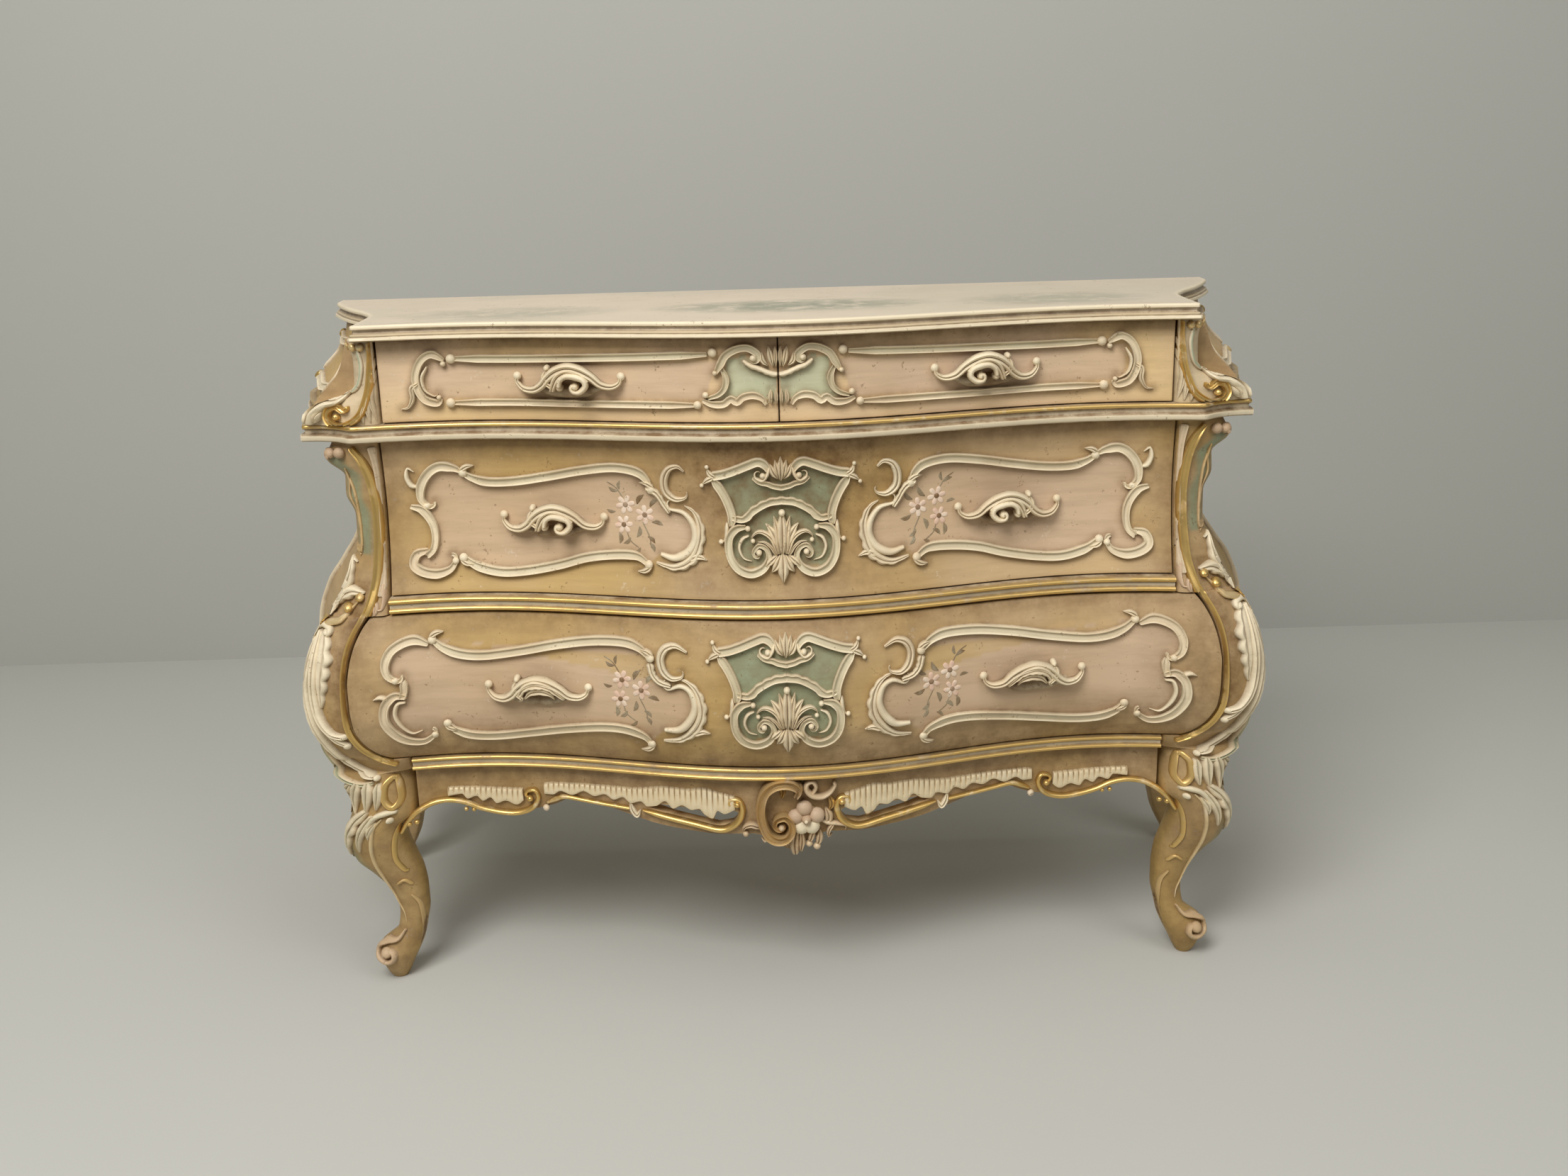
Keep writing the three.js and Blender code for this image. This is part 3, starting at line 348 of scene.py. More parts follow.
def woven(name, rows, masks, cuts=()):
    """rows: an array of rows, columns and x y z; cuts: rows after which the strip is parted"""
    count, across = rows.shape[:2]
    deselect()
    bpy.ops.mesh.primitive_grid_add(x_subdivisions=across - 1, y_subdivisions=count - 1, size=1.0)
    piece = bpy.context.active_object
    piece.name = piece.data.name = name
    piece.data.vertices.foreach_set("co", placed(rows.reshape(-1, 3)).ravel())
    for mask in MASKS:
        if mask in masks:
            values = np.broadcast_to(masks[mask], (count, across)).astype(np.float32)
            held = piece.data.attributes.new(mask, "FLOAT", "POINT")
            held.data.foreach_set("value", values.ravel())
    bpy.ops.object.mode_set(mode="EDIT")
    if len(cuts):
        bpy.ops.mesh.select_all(action="DESELECT")
        bpy.ops.object.mode_set(mode="OBJECT")
        chosen = np.zeros((count - 1, across - 1), bool)
        chosen[list(cuts)] = True
        piece.data.polygons.foreach_set("select", chosen.ravel())
        bpy.ops.object.mode_set(mode="EDIT")
        bpy.ops.mesh.select_mode(type="FACE")
        bpy.ops.mesh.delete(type="FACE")
    bpy.ops.mesh.select_all(action="SELECT")
    bpy.ops.mesh.remove_doubles(threshold=TOUCH)
    bpy.ops.mesh.normals_make_consistent(inside=False)
    bpy.ops.object.mode_set(mode="OBJECT")
    return piece


def capped(rows, caps):
    """Rows with one more at each end"""
    return np.concatenate([[caps[0]], rows, [caps[1]]])


def closed(rows, axis, middle):
    """Rows capped by their own ends, drawn along an axis to the middle of the thickness"""
    caps = []
    for end in (0, -1):
        cap = rows[end].copy()
        cap[:, axis] = middle(cap, end)
        caps.append(cap)
    return capped(rows, caps)


def finished(piece, paint, body, nodes=(), angle=40.0):
    """Gives a piece its finish and its body, and hides the CAD nodes that it stands for"""
    deselect()
    piece.select_set(True)
    bpy.context.view_layer.objects.active = piece
    bpy.ops.object.shade_smooth_by_angle(angle=math.radians(angle))
    piece.data.materials.clear()
    piece.data.materials.append(paint.material)
    if nodes:
        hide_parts(*nodes)
    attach(piece, body)
    print(piece.name, len(piece.data.polygons), "faces")
    return piece


# %% [markdown]
# The shapes of the chest come from a few tables of measured places. A smooth line is drawn through
# each one that never swings past its points, which keeps the fair curves of the real thing without
# bumps. The front is a serpentine wave in plan, multiplied out by the bombe in height.

# %% Smooth tables
LEG_HIGH, BOTTOM_TOP, MID_LOW, MID_TOP = 305.0, 324.0, 518.0, 539.0
WAIST_LOW, WAIST_TOP, TOP_LOW = 736.0, 757.0, 860.0
OPENING, TOP_OPENING, APRON_HALF, TIP_HALF = 497.0, 490.0, 488.0, 512.0
POST_WIDE, TROUGH, CORNER = 138.0, 411.0, 570.0
BULGE, WAIST_SET, UPPER_SET = 52.0, 30.0, 18.0
SWELL, CORNER_LIFT, CORNER_POWER = 78.0, 25.0, 1.85
BODY_FLARE, TOP_FLARE = 80.0, 113.0
LOW_LIP, GAP = 56.0, 1.5


def smooth(table):
    """A smooth reading of a table of pairs, level past both ends"""
    xs, ys = np.array(table, float).T
    step = np.diff(xs)
    slope = np.diff(ys) / step
    before, after = slope[:-1], slope[1:]
    same = before * after > 0
    total = np.where(same, before + after, 1.0)
    lean = np.concatenate([slope[:1], np.where(same, 2 * before * after / total, 0.0), slope[-1:]])

    def read(at):
        at = np.clip(np.asarray(at, float), xs[0], xs[-1])
        i = np.clip(np.searchsorted(xs, at) - 1, 0, len(step) - 1)
        t = (at - xs[i]) / step[i]
        rise = 3 * t ** 2 - 2 * t ** 3
        start = lean[i] * step[i] * (t - 2 * t ** 2 + t ** 3)
        end = lean[i + 1] * step[i] * (t ** 3 - t ** 2)
        return ys[i] * (1 - rise) + ys[i + 1] * rise + start + end
    return read


def wave(x):
    far = np.abs(np.asarray(x, float))
    trough = SWELL * 0.5 * (1 + np.cos(np.pi * np.clip(far / TROUGH, 0, 1)))
    past = np.clip((far - TROUGH) / (CORNER - TROUGH), 0, 1)
    return trough + CORNER_LIFT * past ** CORNER_POWER


bulge_share = smooth([
    (0, 0.42), (0.1, 0.81), (0.2, 0.985), (0.3, 0.965), (0.4, 0.825), (0.5, 0.575), (0.6, 0.29),
    (0.72, 0.077), (0.82, 0), (0.92, 0.04), (1, 0.115),
])


def lower_face(x, z):
    up = (np.asarray(z, float) - LEG_HIGH) / (WAIST_LOW - LEG_HIGH)
    return WAIST_SET - BULGE * bulge_share(up) - wave(x)


def upper_face(x, z=0.0):
    return UPPER_SET - wave(x)


flare_share = smooth([
    (0, 0), (0.3, 0.07), (0.46, 0.27), (0.6, 0.54), (0.8, 0.85), (0.9, 0.965), (1, 1),
])
outer_share = smooth([
    (0, 0.428), (0.008, 0.456), (0.026, 0.492), (0.05, 0.528), (0.072, 0.501), (0.098, 0.333),
    (0.133, 0.306), (0.166, 0.347), (0.204, 0.492), (0.239, 0.651), (0.28, 0.705), (0.318, 0.673),
    (0.353, 0.614), (0.383, 0.664), (0.404, 0.76), (0.425, 0.828), (0.4495, 0.887), (0.496, 0.964),
    (0.54, 0.955), (0.58, 0.932), (0.618, 0.896), (0.64, 0.868), (0.668, 0.796), (0.69, 0.728),
    (0.723, 0.596), (0.758, 0.492), (0.783, 0.465), (0.815, 0.383), (0.87, 0.379), (0.906, 0.447),
    (0.938, 0.438), (0.967, 0.587), (1, 0.515),
])
lip_share = smooth([
    (0, 0.12), (0.02, 0.35), (0.08, 0.62), (0.17, 0.84), (0.27, 0.96), (0.42, 1), (0.55, 1),
    (0.68, 0.94), (0.8, 0.83), (0.92, 0.63), (1, 0.42),
])
lower_side_share = smooth([
    (0.382, 0.569), (0.42, 0.796), (0.5, 0.932), (0.58, 0.887), (0.65, 0.751), (0.7, 0.569),
    (0.76, 0.388), (0.83, 0.329), (0.92, 0.356), (1, 0.433),
])
upper_side_share = smooth([
    (0, 0.705), (0.12, 0.682), (0.3, 0.601), (0.42, 0.514), (0.58, 0.41), (0.78, 0.347), (1, 0.306),
])
apron_drop = smooth([
    (0, 1), (0.1, 0.77), (0.19, 0.79), (0.27, 0.76), (0.35, 0.71), (0.42, 0.62), (0.49, 0.53),
    (0.59, 0.47), (0.63, 0.55), (0.7, 0.65), (0.74, 0.69), (0.82, 0.6), (0.89, 0.48), (0.96, 0.54),
    (1, 0.67),
])


def outward(share):
    return APRON_HALF + POST_WIDE * share


def flare(y, spread):
    return spread * flare_share(np.asarray(y, float) / BACK_Y)


def outer_edge(z):
    return outward(outer_share(np.asarray(z, float) / WAIST_LOW))


def low_half(z):
    return OPENING + LOW_LIP * lip_share((np.asarray(z, float) - BOTTOM_TOP) / (MID_LOW - BOTTOM_TOP))


def lower_side(y, z):
    return outward(lower_side_share(np.asarray(z, float) / WAIST_LOW)) + flare(y, BODY_FLARE)


def upper_side(y, z):
    share = (np.asarray(z, float) - WAIST_TOP) / (TOP_LOW - WAIST_TOP)
    return outward(upper_side_share(share)) + flare(y, BODY_FLARE)


print("front at the middle of the low drawer:", round(float(lower_face(0, 400)), 1), "mm")

# %% [markdown]
# Carving is drawn as strokes, the way a carver pencils them: a line on the face, a width, a height
# and a section. The section may be a double ridge with a valley, a half round, or a leaf with a
# vein. Each stroke becomes a closed ribbon of rings that starts and ends in a point, and the masks
# for glaze and gilding ride along with the section.

# %% Strokes of carving
SUNK = 1.2                              # how far a stroke's foot is let into the face
TOP_COUNT, RING_COUNT = 11, 15          # points over the top of a stroke, and right round it
HALF_SECTIONS = {                       # across, height, glaze, from the left edge to the middle
    "double": ((-1, 0.0, 0.8), (-0.97, 0.6, 0.3), (-0.82, 1.0, 0.0), (-0.62, 0.9, 0.0),
               (-0.48, 0.6, 0.22), (0, 0.5, 0.05)),
    "round": ((-1, 0.0, 0.8), (-0.95, 0.42, 0.35), (-0.78, 0.7, 0.05), (-0.5, 0.9, 0.0),
              (-0.25, 0.98, 0.0), (0, 1.0, 0.0)),
    "leaf": ((-1, 0.0, 0.8), (-0.94, 0.45, 0.35), (-0.72, 0.8, 0.05), (-0.45, 1.0, 0.0),
             (-0.14, 0.85, 0.15), (0, 0.6, 0.6)),
}
SECTIONS = {name: [*half, *[(-across, *rest) for across, *rest in half[-2::-1]]]
            for name, half in HALF_SECTIONS.items()}
STROKE_STEP, COIL_STEPS, COIL_TIGHTENS, BALL_RINGS = 3.0, 12, 0.75, 7
NOSE, NECK_WIDE, NECK_REACH, NECK_HIGH, TIP_STAIN = 0.22, 0.6, 0.75, 0.8, 0.4
FULL = ((0, 0.55), (0.1, 1), (0.9, 1), (1, 0.55))
POINTED = ((0, 0.5), (0.2, 1), (0.55, 0.85), (1, 0.12))
SPINDLE = ((0, 0.25), (0.35, 1), (0.65, 0.95), (1, 0.1))
SCROLL = ((0, 0.5), (0.15, 1), (0.6, 1), (0.85, 0.6), (1, 0.3))


def fine(points):
    """A smooth line through given points"""
    line = np.array(points, float)
    ends = np.vstack([2 * line[0] - line[1], line, 2 * line[-1] - line[-2]])
    drawn = []
    for a, b, c, d in zip(ends, ends[1:], ends[2:], ends[3:]):
        count = max(2, int(np.linalg.norm(c - b) / STROKE_STEP) + 1)
        t = np.linspace(0, 1, count, endpoint=False)[:, None]
        drawn.append(0.5 * (
            2 * b + (c - a) * t + (2 * a - 5 * b + 4 * c - d) * t ** 2
            + (3 * b - a - 3 * c + d) * t ** 3
        ))
    return np.vstack([*drawn, line[-1:]])


def coil(points, radius, turns, side):
    """Runs a line on into a curl: side 1 turns to its left, -1 to its right"""
    line = [np.array(p, float) for p in points]
    last = line[-1] - line[-2]
    heading = math.atan2(last[1], last[0])
    steps = max(3, int(turns * COIL_STEPS))
    turn = 2 * math.pi * turns / steps
    for k in range(steps):
        heading += side * turn
        length = radius * (1 - COIL_TIGHTENS * k / steps) * turn
        line.append(line[-1] + length * np.array([math.cos(heading), math.sin(heading)]))
    return np.array(line)


def stroke(points, wide, high, section="double", shape=FULL, lift=0.0, frill=None, thick=None,
           **tint):
    """A carved ribbon along a line on the face: rings of x, z and height, with its masks"""
    line = fine(points)
    moved = np.linalg.norm(np.diff(line, axis=0), axis=1)
    along = np.concatenate([[0], np.cumsum(moved)])
    share = along / along[-1]
    heading = np.gradient(line, axis=0)
    heading /= np.linalg.norm(heading, axis=1)[:, None] + 1e-9
    normal = np.stack([-heading[:, 1], heading[:, 0]], axis=1)
    knots, factors = np.array(shape, float).T
    factor = np.interp(share, knots, factors)

    across, rise, stain = np.array(SECTIONS[section]).T
    across = np.concatenate([across, [0.5, 0, -0.5, -1]])
    stain = np.concatenate([stain, [1, 1, 1, stain[0]]])
    reach = np.tile(across, (len(line), 1))
    if frill:
        side, count, depth = frill
        lobes = 1 - depth * (1 - np.abs(np.sin(np.pi * count * share)))
        reach = np.where(np.sign(reach) * side >= 0, reach * lobes[:, None], reach)
    half = reach * (factor * wide / 2)[:, None]
    flat = line[:, None, :] + normal[:, None, :] * half[:, :, None]
    raised = lift(line[:, 0]) if callable(lift) else np.full(len(line), lift)
    under = np.full(len(line), -SUNK) if thick is None else np.maximum(raised - thick, -SUNK)
    top = raised[:, None] + high * np.sqrt(factor)[:, None] * rise[None, :]
    out = np.concatenate([top, np.tile(under[:, None], (1, 3)), top[:, :1]], axis=1)
    if thick is None:
        out[:, [0, TOP_COUNT - 1, -1]] = -SUNK

    rings = np.concatenate([flat, out[:, :, None]], axis=2)
    necks, poles = [], []
    for end, way in ((0, -1), (-1, 1)):
        tip = wide * NOSE * factor[end] * heading[end] * way
        soft, middle = rings[end].copy(), line[end]
        soft[:, :2] = middle + (rings[end][:, :2] - middle) * NECK_WIDE + tip * NECK_REACH
        soft[:, 2] = under[end] + (soft[:, 2] - under[end]) * NECK_HIGH
        deep = -SUNK if thick is None else (under[end] + raised[end] + high * 0.4) / 2
        necks.append(soft)
        poles.append(np.tile([*(middle + tip), deep], (len(across), 1)))
    rings = capped(capped(rings, necks), poles)
    stain = np.tile(stain, (len(rings), 1))
    stain[[0, 1, -2, -1]] = np.maximum(stain[[0, 1, -2, -1]], TIP_STAIN)
    return {"rings": rings, "line": line, "glaze": stain, **tint}


def ball(x, z, radius, high, **tint):
    """A small dome on the face"""
    around = np.linspace(0, 2 * np.pi, RING_COUNT)
    rings = []
    for angle in np.linspace(0, np.pi, BALL_RINGS):
        size = math.sin(angle)
        dx = np.full(RING_COUNT, -math.cos(angle) * radius)
        dz = size * radius * np.cos(around)
        out = high * 0.4 + high * 0.6 * size * np.sin(around)
        rings.append(np.stack([x + dx, z + dz, np.maximum(out, -SUNK)], axis=1))
    rings = np.array(rings)
    stain = np.clip(0.8 - 2.2 * rings[:, :, 2] / high, 0, 1)
    return {"rings": rings, "line": np.array([[x, z]]), "glaze": stain, **tint}


def mirrored(points, side):
    return [(side * x, z) for x, z in points]


def hand(side, drop=0.0):
    """Drawing on one side of the middle plane: lines, buds, and the way in which curls turn"""
    def drawn(points):
        return mirrored([(x, z - drop) for x, z in points], side)

    def bud(x, z, size, high, **tint):
        return ball(side * x, z - drop, size, high, **tint)
    return drawn, bud, -side


def leaves(drawn, *table, shape=SPINDLE, **tint):
    """Plain leaves from rows of a width, a height and the points of the vein"""
    return [stroke(drawn(line), wide, high, "leaf", shape, **tint) for wide, high, *line in table]


# where on a section the green of a valley lies
VALLEY = np.array([0, 0, 0, 0.3, 1, 1, 1, 0.3, 0, 0, 0, 0, 0, 0, 0])


def front_surface(face):
    """Strokes laid on a drawer front: x and z stay, the height goes forwards"""
    def surface(rings):
        x, z, out = rings[..., 0], rings[..., 1], rings[..., 2]
        return np.stack([x, face(x, z) - out, z], axis=-1)
    return surface


def carve(name, strokes, surface, paint, body, nodes=()):
    """All strokes of an ornament as one piece: a grid parted between the strokes"""
    rows, cuts, masks = [], [], {mask: [] for mask in MASKS}
    total = 0
    for one in strokes:
        bent = surface(one["rings"])
        rows.append(bent)
        total += len(bent)
        cuts.append(total - 1)
        for mask in MASKS:
            value = one.get(mask, 0.0)
            if mask == "green" and np.isscalar(value):
                value = value * VALLEY
            masks[mask].append(np.broadcast_to(value, bent.shape[:2]))
    held = {mask: np.concatenate(values) for mask, values in masks.items()}
    piece = woven(name, np.concatenate(rows), held, cuts[:-1])
    return finished(piece, paint, body, nodes)


print("sections:", list(SECTIONS))

# %% [markdown]
# The scrolled frames are drawn once for the middle drawer and once for the low one, as distances
# from the middle plane, and mirrored. A band is a double ridge about twelve millimetres wide. It
# breaks into C-scrolls at the corners, and each scroll ends in a small ball.

# %% Scrolled frames of the long drawers
BAND, RISE = 12.0, 8.0
MID_LINES = {
    "top_left": [(402, 694), (411, 698), (427, 700), (441, 692), (451, 677), (453, 660), (446, 650)],
    "left": [(466, 650), (452, 645), (441, 629), (438, 612), (441, 596), (449, 588)],
    "bottom_left": [(449, 594), (462, 590), (466, 578), (456, 569), (438, 565), (421, 570), (414, 580)],
    "bottom": [(404, 584), (386, 573), (356, 566), (322, 568), (281, 576), (246, 586), (212, 591),
               (182, 591), (166, 581)],
    "right": [(150, 594), (133, 590), (116, 598), (107, 614), (109, 631), (120, 645), (136, 649)],
    "right_leaf": [(156, 583), (133, 578), (112, 588), (102, 608), (100, 628), (107, 646), (119, 654)],
    "tail": [(116, 588), (104, 592), (93, 588)],
    "link": [(164, 676), (152, 668), (144, 655), (138, 646)],
    "top": [(160, 673), (165, 686), (178, 696), (207, 700), (247, 695), (288, 687), (332, 680),
            (366, 679), (386, 684), (398, 691)],
    "hook": [(118, 697), (126, 703), (137, 699), (143, 686), (141, 671), (130, 662), (119, 663)],
    "ear": [(455, 675), (463, 677), (468, 688), (466, 699), (459, 694)],
}
LOW_LINES = {
    "top_left": [(452, 481), (468, 487), (485, 483), (498, 474), (505, 459), (503, 445), (494, 437)],
    "left": [(484, 436), (484, 424), (487, 414)],
    "bottom_left": [(483, 415), (497, 417), (509, 405), (511, 384), (500, 364), (484, 353),
                    (466, 351), (452, 360)],
    "inner": [(484, 408), (494, 406), (498, 392), (492, 376), (480, 364), (467, 367)],
    "bottom": [(434, 376), (424, 365), (403, 357), (370, 356), (326, 362), (279, 370), (232, 376),
               (202, 375), (180, 367), (171, 356)],
    "top": [(446, 486), (432, 475), (410, 467), (380, 465), (334, 471), (288, 480), (242, 487),
            (202, 488), (182, 482), (168, 470)],
    "right": [(153, 378), (134, 380), (120, 394), (114, 412), (119, 430), (131, 437), (145, 432)],
    "right_leaf": [(155, 362), (133, 365), (114, 381), (105, 403), (109, 427), (120, 441), (133, 446)],
    "tail": [(118, 374), (106, 378), (96, 376)],
    "link": [(168, 462), (165, 450), (157, 441), (144, 437)],
    "hook": [(122, 479), (136, 486), (149, 482), (155, 470), (152, 455), (142, 446), (131, 447)],
    "ear": [(505, 414), (514, 417), (523, 414)],
}


def frame_strokes(lines, side):
    """The strokes of one scrolled frame"""
    drawn = {key: mirrored(line, side) for key, line in lines.items()}
    turn = -side
    strokes = [
        stroke(coil(drawn["top_left"], 7, 0.4, turn), 12.5, RISE, shape=SCROLL),
        stroke(drawn["left"], 11, RISE, "double", ((0, 0.5), (0.2, 1), (1, 0.8))),
        stroke(coil(drawn["bottom_left"], 7, 0.35, turn), 12.5, RISE, shape=SCROLL),
        stroke(drawn["bottom"], BAND, RISE, green=0.12),
        stroke(drawn["top"], BAND, RISE, green=0.12),
        stroke(coil(drawn["right"], 8, 0.5, -turn), 10.5, RISE * 1.1, "round", POINTED),
        stroke(drawn["right_leaf"], 15, RISE * 0.9, "leaf", SPINDLE, frill=(-turn, 9, 0.4)),
        stroke(drawn["tail"], 10, RISE * 0.9, "leaf", POINTED),
        stroke(drawn["link"], 12, RISE * 1.1, "leaf", ((0, 0.9), (1, 0.6)), frill=(turn, 5, 0.3)),
        stroke(coil(drawn["hook"], 7, 0.3, turn), 11, RISE * 1.1, "leaf", SPINDLE),
        stroke(drawn["ear"], 7, RISE, "round", POINTED),
    ]
    if "inner" in drawn:
        strokes.append(stroke(drawn["inner"], 6, RISE, "round", POINTED))
    for key, out in (("top", 1), ("bottom", -1)):
        for end, neighbour in ((0, 1), (-1, -2)):
            x, z = drawn[key][end]
            run = math.copysign(1.0, drawn[key][neighbour][0] - x)
            spur = [(x + run * dx, z + out * dz) for dx, dz in ((-3, 3), (5, 8), (14, 9))]
            strokes.append(ball(x, z, 5.5, 9))
            strokes.append(stroke(spur, 8, RISE * 1.1, "leaf", POINTED))
    for key in ("top_left", "bottom_left"):
        x, z = drawn[key][-1]
        strokes.append(ball(x, z, 4.5, 8))
    return strokes


mid_frames = {side: frame_strokes(MID_LINES, side) for side in (1, -1)}
low_frames = {side: frame_strokes(LOW_LINES, side) for side in (1, -1)}
print("strokes in a frame:", len(mid_frames[1]), len(low_frames[1]))

# %% [markdown]
# A cartouche stands in the middle of each long drawer: four-pointed ears, mouldings that fall from
# them to two big C-scrolls, a shell on top, an arch, and a palmette between the scrolls. It is the
# same carving on both drawers, so it is drawn once and lifted to its height.

# %% Centre cartouches
LOW_CARTOUCHE_DROP = 211.0


def cartouche_strokes(drop):
    strokes = []
    sage = {"green": 0.24}
    for side in (1, -1):
        drawn, bud, turn = hand(side, drop)
        strokes += [
            stroke(drawn([(14, 698), (20, 706), (28, 709), (40, 705), (55, 699), (70, 694), (82, 692)]),
                   11.5, 8, shape=((0, 0.7), (0.15, 1), (1, 1)), **sage),
            stroke(coil(drawn([(14, 702), (16, 694), (22, 686), (29, 688)]), 6, 0.6, -turn), 5, 9,
                   "round", POINTED),
            bud(22, 692, 3.6, 11),
            stroke(drawn([(82, 687), (72, 672), (65, 657), (61, 642), (62, 630)]), 11.5, 8, **sage),
            stroke(drawn([(67, 634), (68, 622), (70, 614), (74, 609)]), 5.5, 8, "round", POINTED),
            bud(75, 611, 3.0, 8),
            stroke(drawn([(80, 690), (87, 695), (89, 702)]), 8, 8, "leaf", POINTED),
            stroke(drawn([(82, 690), (90, 686), (96, 681)]), 8, 8, "leaf", POINTED),
            bud(89.5, 703, 2.6, 7),
            bud(96.5, 680, 2.6, 7),
            stroke(drawn([(60, 640), (50, 638), (42, 641), (38, 646), (28, 653), (15, 659), (0, 661)]),
                   10, RISE, "double", ((0, 0.7), (0.3, 1), (1, 1)), frill=(turn, 5.5, 0.3), **sage),
            stroke(coil(drawn([(45, 629), (56, 627), (64, 618), (66, 605), (63, 590), (54, 578),
                               (39, 573), (24, 579), (17, 591), (20, 602), (29, 606), (35, 600)]),
                        6, 0.5, turn), 10.5, 9, "double", ((0, 0.5), (0.08, 1), (0.6, 1), (0.8, 0.6),
                                                           (1, 0.35)), **sage),
            bud(42, 627, 3.4, 10),
            bud(29, 598, 3.8, 11),
            stroke(drawn([(41, 618), (49, 614), (53, 603), (48, 591), (38, 587)]), 4.5, 7, "round",
                   POINTED),
            stroke(drawn([(5, 600), (9, 616), (16, 628), (20, 632)]), 12, 10, "leaf", SPINDLE),
            stroke(coil(drawn([(6, 596), (11, 611), (19, 620), (29, 623), (36, 618)]), 5, 0.3, turn),
                   7, 10, "leaf", POINTED),
            bud(36, 612, 2.8, 9),
            stroke(drawn([(8, 594), (14, 604), (22, 610), (30, 610)]), 5, 8, "leaf", POINTED),
            *leaves(drawn, (11, 12, (4, 596), (5, 618), (8, 634), (10, 641)),
                    (11, 11, (3, 594), (8, 582), (14, 574)), (9, 10, (7, 594), (15, 587), (22, 580)),
                    (9, 11, (3, 688), (9, 696), (13, 706)), (8, 12, (2, 688), (5, 702), (7, 711))),
            stroke(drawn([(0, 677), (10, 679), (17, 682), (27, 684), (34, 689)]), 7, 8, "double",
                   ((0, 1), (0.6, 0.9), (1, 0.5)), **sage),
        ]
    drawn, bud, turn = hand(1, drop)
    return strokes + [
        *leaves(drawn, (15, 14, (0, 596), (0, 622), (0, 648))),
        bud(0, 646, 4.2, 13),
        *leaves(drawn, (15, 13, (0, 596), (0, 580), (0, 561)), (10, 13, (0, 686), (0, 700), (0, 715))),
    ]


cartouches = {"middle": cartouche_strokes(0.0), "low": cartouche_strokes(LOW_CARTOUCHE_DROP)}
CARTOUCHE_FIELD = [(0, 690), (16, 700), (40, 704), (82, 690), (66, 660), (62, 630), (65, 604),
                   (52, 578), (24, 580), (0, 580)]
print("strokes in a cartouche:", len(cartouches["middle"]))

# %% [markdown]
# Each short drawer carries one long moulding: a C-scroll at the outer end, two straight bands, and
# half of the cartouche whose other half sits on its neighbour.

# %% Mouldings of the short drawers


def short_strokes(side):
    drawn, bud, turn = hand(side)
    sage = {"green": 0.24}
    return [
        stroke(coil(drawn([(408, 834), (422, 841), (435, 834), (443, 817), (442, 800), (434, 786),
                           (420, 781)]), 5, 0.3, turn), 10, RISE, shape=FULL),
        stroke(coil(drawn([(429, 826), (436, 812), (433, 797), (424, 790)]), 5, 0.3, turn), 4.5,
               RISE, "round", POINTED),
        bud(409, 829, 3.4, 8),
        bud(417, 788, 3.0, 8),
        stroke(drawn([(441, 806), (449, 800), (449, 788), (455, 777), (464, 775)]), 8, RISE, "leaf",
               POINTED),
        stroke(drawn([(398, 835), (321, 834), (244, 835), (168, 837), (84, 840)]), 10, RISE, **sage),
        stroke(drawn([(400, 781), (325, 781), (248, 780), (171, 780), (98, 780)]), 9, RISE),
        bud(399, 835, 6.0, 9),
        bud(403, 781, 6.0, 9),
        bud(77, 842, 5.5, 10),
        bud(97, 780, 5.0, 9),
        stroke(coil(drawn([(74, 818), (68, 828), (61, 839), (48, 846), (35, 847), (25, 841)]), 7, 0.6,
                    -turn), 10.5, 8, "double", ((0, 0.5), (0.15, 1), (0.8, 0.9), (1, 0.35)), **sage),
        bud(29.5, 835, 3.8, 11),
        bud(75, 818, 3.0, 9),
        stroke(drawn([(67, 824), (62, 812), (64, 800), (72, 792), (84, 788)]), 9, 8, "double",
               ((0, 0.5), (0.3, 1), (1, 0.5)), **sage),
        bud(87, 792, 3.8, 10),
        stroke(drawn([(90, 785), (80, 781), (66, 781), (57, 787), (50, 783), (42, 789), (30, 791),
                      (20, 787), (15, 780)]), 9, 7, "double", ((0, 0.6), (0.2, 1), (0.8, 1), (1, 0.5))),
        stroke(drawn([(41, 832), (33, 826), (22, 822), (11, 817), (2, 815)]), 7, 8, "round",
               ((0, 0.6), (0.2, 1), (1, 1)), frill=(-turn, 5, 0.35)),
        *leaves(drawn, (5.5, 10, (2.6, 825), (2.8, 838), (3.4, 850)),
                (8, 10, (6, 825), (9, 838), (11, 849)), (7, 9, (12, 826), (18, 832), (19, 842)),
                (5, 8, (3, 798), (3, 788), (3, 779)), (6, 8, (9, 797), (10, 788), (9, 780))),
    ]


short_trims = {side: short_strokes(side) for side in (1, -1)}
SHORT_FIELD = [(2, 818), (22, 824), (40, 838), (60, 834), (64, 812), (74, 788), (46, 786), (30, 790),
               (12, 784), (2, 784)]
print("strokes in a short moulding:", len(short_trims[1]))

# %% [markdown]
# The drawer fronts are boards sawn to the serpentine and the bombe. The grid is fine enough to hold
# painted masks: pinker paint inside each frame, sea green inside the cartouches, and a brown halo
# where the glaze gathered along every moulding. The same brown also paints shade and shadow: under
# the board above each front, on the lower part of the low drawer, at the middle below the moulding
# above, and towards the right end.

# %% Masks painted on a front
STROKE_HALF, HALO, HALO_REACH = 4.0, 0.5, 4.5
FRONT_THICK, SOFT_EDGE, FRONT_STEP = 24.0, 1.4, 4.0
# reaches of the darker ends, of the middle glaze and painted shadow, and of the painted shade at the
# right
SIDE_REACH, MIDDLE_REACH, RIGHT_FROM, RIGHT_SPAN = 75.0, 170.0, 440.0, 90.0
# painted shadow from above, the share of the height it covers, painted shade below, and the worn edge
ABOVE_SHADOW, ABOVE_SHARE, BELOW_SHARE, WORN_EDGE = 0.62, 0.28, 0.4, 0.5


